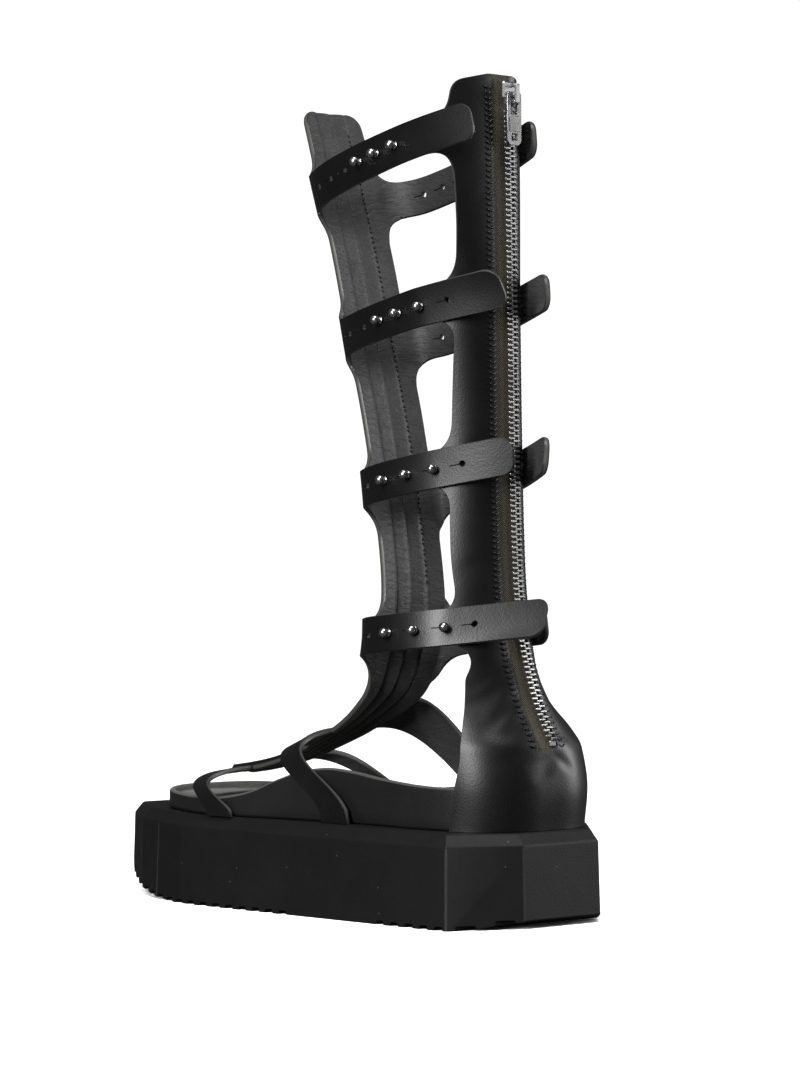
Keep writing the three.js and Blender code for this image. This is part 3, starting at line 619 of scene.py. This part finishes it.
# Creases that walking has left on the back piece: two ends in x and height, half width and depth, in mm.
BACK_CREASES = [
    (8, 128, 34, 112, 2.6, 0.6), (10, 120, 30, 104, 2.1, 0.5), (8, 110, 26, 99, 1.9, 0.45),
    (14, 133, 40, 121, 2.8, -0.35), (10, 99, 24, 91, 1.8, 0.5), (10, 84, 28, 80, 2.3, 0.4),
    (-8, 126, -32, 112, 2.6, 0.5), (-9, 112, -27, 101, 2.1, 0.45), (-7, 90, -22, 84, 2.3, 0.45),
    (-3, 80.5, 17, 76, 1.4, 0.9), (-1, 77, 14, 72, 1.3, 0.8), (2, 73, 12, 69, 1.3, 0.6),
    (-3, 80, -13, 74, 1.6, 0.8), (14, 104, 34, 93, 1.6, 0.55), (16, 116, 38, 104, 1.6, 0.5),
    (12, 176, 28, 170, 2.6, 0.3), (12, 236, 24, 226, 2.6, 0.3), (14, 318, 27, 306, 3, 0.32),
    (10, 352, 26, 344, 2.6, 0.3),
]


def crease_depth(creases, x, u):
    """Depth of the soft troughs (and ridges, where negative) at a place on the pattern."""
    total = 0
    for x0, u0, x1, u1, half, depth in creases:
        run = Vector((x1 - x0, u1 - u0))
        share = min(max(Vector((x - x0, u - u0)).dot(run) / run.length_squared, 0), 1)
        gap = math.hypot(x - x0 - run.x * share, u - u0 - run.y * share)
        if gap < 3 * half:
            total += depth * math.exp(-(gap / half) ** 2) * math.sin(math.pi * (0.15 + 0.7 * share))
    return total


def back_spot(x, u):
    """Outer face of the back piece, x mm round the form from the middle of the back at height u."""
    side = 1 if x >= 0 else -1
    level = round(u, 2)
    depth = LAP_GAP + crease_depth(BACK_CREASES, x, u)
    w = abs(x) - zip_edge(side)
    if w < 0:
        return place(read_table(LEG, level, 2) + depth, x, u)
    spot, heading = along_plan(leg_half(level, side)[::-1], w)
    normal = Vector((-heading.y, heading.x)) * side
    if w < 0.01:
        normal = Vector((-1, 0))
    spot = spot - normal * depth
    return place(spot.x, spot.y, u)


black_leather = grain_leather("waxed_black_leather", "070708", "111112", 0.37)
REACH = 118
back_columns = even_steps([-REACH, -40, -ZIP_OUTER_EDGE, 0, ZIP_INNER_EDGE, 40, REACH], 1.4)
back_rows = even_steps([FOOTBED_BASE, ZIP_BOTTOM, TOP_HEIGHT - 8, TOP_HEIGHT], 1.5)


def lining_leather(name, tone_low, tone_high):
    """Flesh side of the straps, faced with thin grey kid that has wrinkled where the leather bends."""
    material, tree, shader, spot, *_ = clouded_material(name, 12 * MM, 8, tone_low, tone_high, 0.65)
    stretched = add_node(tree, "Mapping", {"Vector": spot, "Rotation": (0, 0.35, 0),
                                           "Scale": (0.55, 0.55, 1.5)})
    folds = add_node(tree, "TexNoise", {"Vector": stretched.outputs[0], "Scale": 1 / (3.4 * MM),
                                        "Detail": 4, "Distortion": 0.8})
    skin = add_node(tree, "Bump", {"Height": folds.outputs[0], "Strength": 0.8, "Distance": 0.8 * MM})
    tree.links.new(skin.outputs[0], shader.inputs["Normal"])
    shader.inputs["Roughness"].default_value = 0.5
    shader.inputs["Specular IOR Level"].default_value = 0.35
    return material


kid_lining = lining_leather("grey_kid_lining", "262627", "4c4c4c")

back = flat_leather(back_columns, back_rows)
cut_out(back, outside_back)
shape_leather(back, back_spot, LEATHER)
upper_back = shown("back_piece", back, black_leather, kid_lining)
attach(upper_back, "sandal")
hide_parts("upper_back")

# ---- front piece ----
# The ribbed shin panel, the bar over the instep and the eight shaft straps, cut in one from the same
# leather. Three sewn pleats run the whole length of the panel and stand up as ridges. The straps wrap
# round the back piece and button over its studs through punched holes, each with a short slit.
STUD_PITCH = 14
STUDS_PER_STRAP = 3
STRAP_HALF = 8.75
STRAP_CORNER = 6
STRAP_ROOT = 22
BAR_BELOW = 112
PANEL_CORNER = 8
HOLE_RADIUS = 1.6
SLIT_LENGTH = 4.6
SLIT_HALF = 0.28
# The shin and instep middle line of the outer face, with the half width, from the top edge to the toe
# strap.
SHIN = [
    (14.6, 398, 18.5), (5.6, 372, 19.5), (-9.8, 323.5, 20), (-20.9, 281, 20), (-31.3, 243, 20),
    (-39.5, 204, 20), (-45.2, 168, 20.5), (-45.4, 146, 21.5), (-41.4, 127, 22), (-34.9, 111.8, 20.5),
    (-26.9, 104, 18.5), (-14.5, 95.9, 15), (0.2, 88.2, 13), (18.8, 80.6, 11.5), (31.7, 75.4, 10),
    (49.2, 70.6, 9), (64.6, 67.6, 9), (80, 65.4, 9),
]
# Each strap's spare holes, counted in pitches from its first stud; negative ones lie nearer to the panel.
SPARE_HOLES = [(-3, -2, -1), (-2, -1, 3), (-1, 3), (-2, -1, 3)]
PLEATS = (-10, 0, 10)
PLEAT_STRIP = 9


def shin_samples():
    """Length along the shin line, forward, up, outward normal and half width, at close steps."""
    samples = []
    length = 0
    steps = 40
    for k in range(steps * (len(SHIN) - 1) + 1):
        f, u, half = on_curve(SHIN, k / steps)
        before = on_curve(SHIN, max(k / steps - 0.02, 0))
        after = on_curve(SHIN, min(k / steps + 0.02, len(SHIN) - 1))
        way = Vector((after[0] - before[0], after[1] - before[1])).normalized()
        if samples:
            length += math.hypot(f - samples[-1][1], u - samples[-1][2])
        samples.append((length, f, u, -way.y, way.x, half))
    return samples


SHIN_SAMPLES = shin_samples()
SHIN_LENGTHS = [sample[0] for sample in SHIN_SAMPLES]


@functools.lru_cache(maxsize=4096)
def shin_at(y):
    """Forward, up, normal and half width, y mm down the shin line."""
    k = max(bisect.bisect_right(SHIN_LENGTHS, y, hi=len(SHIN_LENGTHS) - 1) - 1, 0)
    a, b = SHIN_SAMPLES[k], SHIN_SAMPLES[k + 1]
    share = (y - a[0]) / (b[0] - a[0])
    return [p + (q - p) * share for p, q in zip(a[1:], b[1:])]


def strap_end(index, side):
    height, rise, first_studs, tails, bends = SHAFT_STRAPS[index]
    return of_side(first_studs, side) + STUD_PITCH * (STUDS_PER_STRAP - 1) + of_side(tails, side)


def strap_holes(index, side):
    first_studs = SHAFT_STRAPS[index][2]
    studs = [of_side(first_studs, side) + STUD_PITCH * k for k in range(STUDS_PER_STRAP)]
    spare = [studs[0] + STUD_PITCH * k for k in SPARE_HOLES[index]]
    return studs + spare


def hole_distance(s, u, index, holes):
    """Distance outside the nearest hole and its slit; s runs along the strap."""
    height, rise = SHAFT_STRAPS[index][:2]
    nearest = 99
    for hole in holes:
        over = s - hole
        if abs(over) > 9:
            continue
        up = u - (height + rise * hole) - rise * over
        nearest = min(nearest, math.hypot(over, up) - HOLE_RADIUS)
        slit = math.hypot(over - min(max(over, -HOLE_RADIUS - SLIT_LENGTH), 0), up) - SLIT_HALF
        nearest = min(nearest, slit)
    return nearest


def outside_front(x, y):
    """Distance outside the front piece's cutting line; x runs across and y down the shin."""
    side = 1 if x >= 0 else -1
    u = shin_at(y)[1]
    s = abs(x) - PANEL_HALF
    over = (abs(x) - PANEL_HALF + PANEL_CORNER, PANEL_CORNER - y)
    result = math.hypot(*over) - PANEL_CORNER if min(over) > 0 else s
    if u < BAR_BELOW:
        return result
    for index, (height, rise, first_studs, tails, bends) in enumerate(SHAFT_STRAPS):
        up = abs(u - height - rise * s)
        if up > 40:
            continue
        past = max(0, s - (strap_end(index, side) - STRAP_CORNER))
        bar = math.hypot(past, max(0, up - STRAP_HALF + STRAP_CORNER)) - STRAP_CORNER
        bar = max(bar, up - STRAP_HALF)
        result = soft_min(result, bar, STRAP_FILLET)
        if up < STRAP_HALF and s > 8:
            result = max(result, -hole_distance(s, u, index, strap_holes(index, side)))
    return result


def pleat_height(x, y):
    """How far the sewn pleats stand up: a narrow ridge at each, and a strip that leans up to it."""
    low = min(max((y - 235) / 60, 0), 1)
    ridge = 0.55 + 0.95 * low
    total = 0
    for pleat in PLEATS:
        lean = x - pleat
        total += ridge * math.exp(-(lean / (1.1 + 0.9 * low)) ** 2)
        if -PLEAT_STRIP < lean < 0:
            total += 0.75 * (1 + lean / PLEAT_STRIP) ** 2
    return total


def strap_spot(x, y, side):
    """Outer face of a shaft strap beyond the panel's edge."""
    u = shin_at(y)[1]
    s = abs(x) - PANEL_HALF
    index = min(range(4), key=lambda k: abs(SHAFT_STRAPS[k][0] + SHAFT_STRAPS[k][1] * s - u))
    height, rise, first_studs, tails, bends = SHAFT_STRAPS[index]
    held = of_side(first_studs, side) + STUD_PITCH * (STUDS_PER_STRAP - 1) + 2
    on_form = min(s, held)
    beyond = s - on_form
    spot, heading = along_plan(leg_half(round(u - rise * beyond, 2), side), on_form)
    reach = strap_end(index, side) - held
    turn = math.radians(of_side(bends, side)) * (beyond / reach) / 2 * side
    heading = Vector((heading.x * math.cos(turn) - heading.y * math.sin(turn),
                      heading.x * math.sin(turn) + heading.y * math.cos(turn)))
    normal = Vector((heading.y, -heading.x)) * side
    spot = spot + heading * beyond + normal * (GAP + LEATHER)
    return Vector((spot.x, spot.y, u))


def front_spot(x, y):
    """Outer face of the front piece, x mm across and y mm down the shin line."""
    f, u, nf, nu, half = shin_at(y)
    side = 1 if x >= 0 else -1
    across = min(abs(x), PANEL_HALF) * half / PANEL_HALF
    drop = PANEL_CROWN * (across / PANEL_HALF) ** 2 - pleat_height(x, y)
    panel = Vector((f - nf * drop, side * across, u - nu * drop))
    s = abs(x) - PANEL_HALF
    if s <= 0 or u < STRAPS_ABOVE:
        return place(*panel)
    step = panel - strap_spot(side * PANEL_HALF, y, side)
    return place(*(strap_spot(x, y, side) + step * ease(1 - s / STRAP_ROOT)))


FRONT_REACH = 172
front_columns = even_steps([-FRONT_REACH, -PANEL_HALF, PANEL_HALF, FRONT_REACH], 1.7)
front_columns = sorted(set([x for x in front_columns if abs(x) >= PANEL_HALF]
                           + even_steps([-PANEL_HALF, *PLEATS, PANEL_HALF], 0.62)))
front_rows = even_steps([0, SHIN_LENGTHS[-1]], 1.8)
front = flat_leather(front_columns, front_rows)
waste = [v for v in front.verts if outside_front(v.co.x, v.co.y) > 6]
bmesh.ops.delete(front, geom=waste, context="VERTS")


def near_a_hole(edge):
    x = (edge.verts[0].co.x + edge.verts[1].co.x) / 2
    u = shin_at((edge.verts[0].co.y + edge.verts[1].co.y) / 2)[1]
    s = abs(x) - PANEL_HALF
    for index, (height, rise, first_studs, tails, bends) in enumerate(SHAFT_STRAPS):
        if s > 8 and abs(u - height - rise * s) < STRAP_HALF:
            return hole_distance(s, u, index, strap_holes(index, 1 if x > 0 else -1)) < 1.6
    return False


bmesh.ops.subdivide_edges(front, edges=[edge for edge in front.edges if near_a_hole(edge)], cuts=3,
                          use_grid_fill=True)
bmesh.ops.triangulate(front, faces=[face for face in front.faces if len(face.verts) > 4])
cut_out(front, outside_front)
shape_leather(front, front_spot, LEATHER, soften=1)
upper_front = shown("front_piece", front, black_leather, kid_lining)
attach(upper_front, "sandal")
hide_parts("upper_front")

# ---- foot straps ----
# Toe and instep straps of the same leather. Each leaves the bar over the instep, sweeps back to the sole
# and is lasted into the joint between footbed and outsole.
FOOT_STRAP_WIDE = 24
FOOT_STRAP_LONG = 90
# Side, front and rear edge at the instep and at the sole, how square the arch is, how far it stands off the
# footbed's wall, and how far it bows above an even arch.
FOOT_STRAPS = [
    ("inner_toe", 1, 76, 60, 43, 26, 4, 2.2, -2), ("inner_instep", 1, 12, -4, -33, -51, 4, 3.4, -3),
    ("outer_toe", -1, 72, 54, 20, 2, 3.6, 2, 8), ("outer_instep", -1, 12, -20, -58, -80, 2.8, 1.6, 12),
]
INSTEP_LINE = sorted((f, u) for f, u, half in SHIN if u < BAR_BELOW)


def foot_strap_spot(strap, across, along):
    """Outer face of a foot strap, across from front to rear edge and along from the instep to the sole."""
    name, side, top_front, top_rear, sole_front, sole_rear, square, clear, bow = strap
    top = top_front + (top_rear - top_front) * across
    sole_end = sole_front + (sole_rear - sole_front) * across
    f = top + (sole_end - top) * along ** (2 + 0.8 * across)
    half = read_table(FOOTBED, f, 1 if side > 0 else 2) + clear
    crest = read_table(INSTEP_LINE, top, 1) - LEATHER - 0.3

    def arch(turn):
        return Vector((half * max(math.sin(turn), 0) ** (2 / square), bow * math.sin(2 * turn)
                       + FOOTBED_BASE + (crest - FOOTBED_BASE) * max(math.cos(turn), 0) ** (2 / square)))

    turn = (0.02 + 0.98 * along) * math.pi / 2
    way = (arch(min(turn + 0.02, math.pi / 2)) - arch(turn - 0.02)).normalized()
    spot = arch(turn)
    return place(f, side * (spot.x - way.y * LEATHER), spot.y + way.x * LEATHER)


for strap in FOOT_STRAPS:
    strip = flat_leather(even_steps([0, FOOT_STRAP_WIDE], 1.7), even_steps([0, FOOT_STRAP_LONG], 1.7))
    shape_leather(strip, lambda x, y: foot_strap_spot(strap, x / FOOT_STRAP_WIDE, y / FOOT_STRAP_LONG),
                  LEATHER * strap[1], soften=1)
    foot_strap = shown("foot_strap_" + strap[0], strip, black_leather, kid_lining)
    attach(foot_strap, "sandal")
    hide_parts("upper_front")

# ---- studs ----
# Turned brass ball studs, nickel plated, screwed through the back piece. The strap's hole snaps over the
# ball and sits round its neck.
STRAP_NAMES = ("top", "upper", "lower", "ankle")
BALL_RADIUS = 2.4
BALL_CENTRE = 3.3
STUD_TURNS = 24
STUD_CLEAR = 0.9


def plated_metal(name, tone_low, tone_high, roughness):
    """Polished nickel plate: bright, slightly warm, with hair scratches from handling."""
    material, tree, shader, spot, clouds, _ = clouded_material(name, 14 * MM, 3, tone_low, tone_high)
    hairs = add_node(tree, "Mapping", {"Vector": spot, "Rotation": (0.3, 0.7, 0.2), "Scale": (1, 0.08, 1)})
    scratch = add_node(tree, "TexNoise", {"Vector": hairs.outputs[0], "Scale": 1 / (0.3 * MM), "Detail": 2})
    skin = add_node(tree, "Bump", {"Height": scratch.outputs[0], "Strength": 0.04, "Distance": 0.02 * MM})
    tree.links.new(skin.outputs[0], shader.inputs["Normal"])
    worn = add_node(tree, "MapRange", {0: clouds.outputs[0], 3: roughness - 0.05, 4: roughness + 0.08})
    tree.links.new(worn.outputs[0], shader.inputs["Roughness"])
    shader.inputs["Metallic"].default_value = 1
    return material


nickel = plated_metal("nickel_plate", "a6a6a8", "c8c7c4", 0.24)
# Half profile of a stud, radius and height: base plate, neck and ball.
STUD_SECTION = [(0, 0), (1.7, 0), (1.8, 0.12), (1.8, 0.35), (1.65, 0.45), (1.2, 0.55), (1.15, 1.25)]
STUD_SECTION += [(BALL_RADIUS * math.sin(turn), BALL_CENTRE - BALL_RADIUS * math.cos(turn))
                 for turn in map(math.radians, range(38, 180, 14))]
STUD_SECTION += [(0, BALL_CENTRE + BALL_RADIUS)]

for side in (1, -1):
    for name, (height, rise, first_studs, tails, bends) in zip(STRAP_NAMES, SHAFT_STRAPS):
        for index in range(STUDS_PER_STRAP):
            s = of_side(first_studs, side) + STUD_PITCH * index
            level = height + rise * s
            spot, heading = along_plan(leg_half(round(level, 2), side), s)
            normal = Vector((heading.y, -heading.x)) * side
            out = place(normal.x, normal.y, 0).normalized()
            foot = place(spot.x, spot.y, level) + out * (LEATHER + STUD_CLEAR) * MM
            ball = bmesh.new()
            line = [ball.verts.new((r * MM, 0, up * MM)) for r, up in STUD_SECTION]
            profile = [ball.edges.new(pair) for pair in zip(line, line[1:])]
            bmesh.ops.spin(ball, geom=line + profile, axis=(0, 0, 1), cent=(0, 0, 0), angle=2 * math.pi,
                           steps=STUD_TURNS, use_merge=True)
            bmesh.ops.remove_doubles(ball, verts=ball.verts, dist=0.005 * MM)
            bmesh.ops.recalc_face_normals(ball, faces=ball.faces)
            turn = out.to_track_quat("Z", "Y").to_matrix().to_4x4()
            bmesh.ops.transform(ball, matrix=Matrix.Translation(foot) @ turn, verts=ball.verts)
            smooth(ball)
            side_name = "inner" if side > 0 else "outer"
            stud = shown(f"ball_stud_{side_name}_{name}_{index + 1}", ball, nickel)
            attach(stud, "sandal")
            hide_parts(f"stud_{side_name}_{name}_{index + 1}")

# ---- zip tape ----
# Olive brown cotton twill, woven to carry the teeth and sewn in behind the leather's edges. It is drawn
# in a little under the teeth.
TAPE_DEPTH = 1.6
TAPE_THICK = 0.8
TAPE_DRAWN_IN = 0.25
TAPE_DRAWN_HALF = 3.8
TAPE_RIB = 0.9
CHAIN_MIDDLE = -1.7


def woven_tape(name):
    """Dense cotton twill: slanting ribs about a millimetre apart, drawn that coarse so that they show."""
    material, tree, shader = new_material(name)
    spot = add_node(tree, "TexCoord").outputs["UV"]
    turned = add_node(tree, "Mapping", {"Vector": spot, "Rotation": (0, 0, 0.9)})
    ribs = add_node(tree, "TexWave", {"Vector": turned.outputs[0], "Scale": 1 / (TAPE_RIB * MM) / 6.28 * 2,
                                      "Distortion": 0.6, "Detail": 2})
    tone = add_node(tree, "Mix", {0: ribs.outputs[0], 6: linear("2e2c26"), 7: linear("6a6557")},
                    data_type="RGBA")
    tree.links.new(tone.outputs[2], shader.inputs["Base Color"])
    skin = add_node(tree, "Bump", {"Height": ribs.outputs[0], "Strength": 0.8, "Distance": 0.3 * MM})
    tree.links.new(skin.outputs[0], shader.inputs["Normal"])
    shader.inputs["Roughness"].default_value = 0.9
    shader.inputs["Specular IOR Level"].default_value = 0.2
    return material


def back_line(u):
    return read_table(LEG, u, 2)


def tape_spot(x, u):
    out = TAPE_DRAWN_IN if abs(x - CHAIN_MIDDLE) > TAPE_DRAWN_HALF else 0
    return place(back_line(u) + TAPE_DEPTH - out, x, u)


twill = woven_tape("olive_twill_tape")
tape_shape = flat_leather(even_steps([-ZIP_OUTER_EDGE, ZIP_INNER_EDGE], 0.9),
                          even_steps([ZIP_BOTTOM + GAP, TOP_HEIGHT], 2.5))
shape_leather(tape_shape, tape_spot, TAPE_THICK, round_by=0.1)
tape = shown("zip_twill", tape_shape, twill, twill)
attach(tape, "sandal")
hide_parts("zip_tape")

# ---- zip teeth ----
# Two rows of nickel silver teeth, clamped on the tape's inner edges, that mesh along the middle. A small
# block stops them at the bottom.
TOOTH_PITCH = 2.5
TOOTH_LONG = 3.9
TOOTH_HIGH = 1.2
TOOTH_OUT = 1.5
TOOTH_MESH = 0.45
CHAIN_LOW = ZIP_BOTTOM + 4
SLIDER_LOW = 393


def add_block(shape, size, centre, round_by, turn=Matrix.Identity(4)):
    """Adds a block with rounded edges; size and centre are in mm, as n, f backwards and u."""
    made = bmesh.ops.create_cube(shape, size=1)["verts"]
    bmesh.ops.scale(shape, vec=Vector(size) * MM, verts=made)
    edges = list(dict.fromkeys(edge for vertex in made for edge in vertex.link_edges))
    made = bmesh.ops.bevel(shape, geom=edges, affect="EDGES", offset=round_by * MM, segments=1,
                           profile=0.5, material=-1)["verts"]
    bmesh.ops.transform(shape, matrix=Matrix.Translation(Vector(centre) * MM) @ turn, verts=made)


teeth = bmesh.new()
count = int((SLIDER_LOW - GAP - CHAIN_LOW) / TOOTH_PITCH)
for k in range(2 * count):
    side = 1 if k % 2 else -1
    u = CHAIN_LOW + 0.7 + k * TOOTH_PITCH / 2
    lean = (back_line(u + 1) - back_line(u - 1)) / 2
    add_block(teeth, (TOOTH_LONG, TOOTH_OUT, TOOTH_HIGH),
              (CHAIN_MIDDLE + side * (TOOTH_LONG / 2 - TOOTH_MESH), -back_line(u) + 0.35, u), 0.28,
              Matrix.Rotation(math.atan(lean), 4, "X"))
add_block(teeth, (4.4, 1.5, 2.6), (CHAIN_MIDDLE, -back_line(CHAIN_LOW - 1) - 0.45, CHAIN_LOW - 1.6), 0.4)
bright_teeth = plated_metal("zip_nickel", "a2a2a4", "cacac8", 0.3)
chain = shown("zip_teeth", teeth, bright_teeth)
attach(chain, "sandal")
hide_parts("zip_chain")

# ---- stitching ----
# Thick black waxed thread. Two rows of slanting stitches along each leather edge hold the zip's tape, and a
# zigzag of the same thread closes the pleat seam that shows on the lining of the shin panel.
STITCH_PITCH = 2.7
STITCH_PROUD = 0.15
# Distance of each row from the leather's edge, and the slant of its stitches in degrees.
STITCH_ROWS = ((1.4, 32), (3.7, -32))
SEAM_PLACE = -9.4
SEAM_START = 12
SEAM_PITCH = 2.6
SEAM_STITCHES = 90
SEAM_SLANT = 35

# Waxed linen thread: black, laid in fine plies, with a slight shine.
thread, tree, shader, *_ = clouded_material("black_waxed_thread", 0.5 * MM, 2, "040404", "121212")
shader.inputs["Roughness"].default_value = 0.45

stitches = bmesh.new()
for side in (1, -1):
    for k in range(int((TOP_HEIGHT - 4 - ZIP_BOTTOM) / STITCH_PITCH)):
        for over, slant in STITCH_ROWS:
            u = ZIP_BOTTOM + (k + 0.5) * STITCH_PITCH
            x = side * (zip_edge(side) + over)
            here = back_spot(x, u)
            across_way = (back_spot(x + side * 0.6, u) - back_spot(x - side * 0.6, u)).normalized() * side
            up_way = (back_spot(x, u + 0.6) - back_spot(x, u - 0.6)).normalized()
            out_way = up_way.cross(across_way).normalized()
            out_way *= 1 if out_way.y > 0 or side * out_way.x > 0.9 else -1
            turn = Matrix((across_way, out_way, up_way)).transposed().to_4x4()
            turn = turn @ Matrix.Rotation(math.radians(slant * side), 4, "Y")
            add_block(stitches, (2.1, 1, 0.9), here / MM + STITCH_PROUD * side * out_way, 0.28, turn)
bmesh.ops.recalc_face_normals(stitches, faces=stitches.faces)
zip_stitching = shown("zip_stitching", stitches, thread)
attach(zip_stitching, "sandal")

seam = bmesh.new()
for k in range(SEAM_STITCHES):
    y = SEAM_START + k * SEAM_PITCH
    here = front_spot(SEAM_PLACE, y)
    across_way = (front_spot(SEAM_PLACE + 1, y) - front_spot(SEAM_PLACE - 1, y)).normalized()
    down_way = (front_spot(SEAM_PLACE, y + 1) - front_spot(SEAM_PLACE, y - 1)).normalized()
    in_way = across_way.cross(down_way).normalized()
    in_way *= 1 if in_way.y > 0 else -1
    turn = Matrix((across_way, in_way, across_way.cross(in_way))).transposed().to_4x4()
    turn = turn @ Matrix.Rotation(math.radians(SEAM_SLANT if k % 2 else -SEAM_SLANT), 4, "Y")
    add_block(seam, (2.4, 0.9, 0.8), here / MM + (LEATHER + 0.1) * in_way, 0.25, turn)
bmesh.ops.recalc_face_normals(seam, faces=seam.faces)
pleat_seam = shown("pleat_seam", seam, thread)
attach(pleat_seam, "sandal")

# ---- zip slider ----
# Die cast zinc slider, nickel plated, stopped at the top of the chain. Its body is wide above and narrow
# below, and a bail of two posts and a bar stands on it to hold the pull tab.
SLIDER_HIGH = 405
SLIDER_HALF = 4.9
HINGE_HEIGHT = 398.6
# Each block's width, depth and height, how far out its middle lies, that middle's height, and its rounding.
SLIDER_BLOCKS = [
    (2 * SLIDER_HALF, 2, 8.5, 1.6, SLIDER_HIGH - 4.6, 0.8),
    (2 * SLIDER_HALF - 3.4, 2, 5, 1.6, SLIDER_LOW + 2.5, 0.7),
    (3, 4.4, 1.5, 4.4, SLIDER_HIGH - 2.5, 0.35), (3, 4.4, 1.5, 4.4, SLIDER_LOW + 1.5, 0.35),
    (3, 1.2, SLIDER_HIGH - SLIDER_LOW - 2.6, 7, (SLIDER_LOW + SLIDER_HIGH) / 2 - 0.5, 0.4),
]

slider_back = -back_line(HINGE_HEIGHT)
body = bmesh.new()
for wide, deep, high, out, level, round_by in SLIDER_BLOCKS:
    add_block(body, (wide, deep, high), (CHAIN_MIDDLE, slider_back + out, level), round_by)
slider = shown("zip_slider_body", body, bright_teeth)
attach(slider, "sandal")
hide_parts("zip_slider")

# ---- pull tab ----
# Stamped flat frame, nickel plated, that hangs from the slider's bail and swings on it: a long slot, a
# raised plate and a small window below it.
HINGE_OUT = 4.4
TAB_THICK = 1.6
TAB_EDGE_ROUND = 0.3
PLATE_SIZE = (7, 0.5, 7.4)
PLATE_BELOW_HINGE = 14.6

tab_shape = bmesh.new()
tab_shape.from_mesh(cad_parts["zip_pull_tab"].data)
bmesh.ops.remove_doubles(tab_shape, verts=tab_shape.verts, dist=WELD)
bmesh.ops.dissolve_limit(tab_shape, angle_limit=math.radians(1), verts=tab_shape.verts,
                         edges=tab_shape.edges)
tab_edges = [edge for edge in tab_shape.edges if edge.calc_face_angle() > math.radians(30)]
bmesh.ops.bevel(tab_shape, geom=tab_edges, affect="EDGES", offset=TAB_EDGE_ROUND * MM, segments=2,
                profile=0.5, material=-1)
tab_face = slider_back + HINGE_OUT + TAB_THICK / 2
add_block(tab_shape, PLATE_SIZE, (CHAIN_MIDDLE, tab_face, HINGE_HEIGHT - PLATE_BELOW_HINGE), 0.2)
pull_tab = shown("zip_pull", tab_shape, nickel)
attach(pull_tab, "pull_tab")
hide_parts("zip_pull_tab")
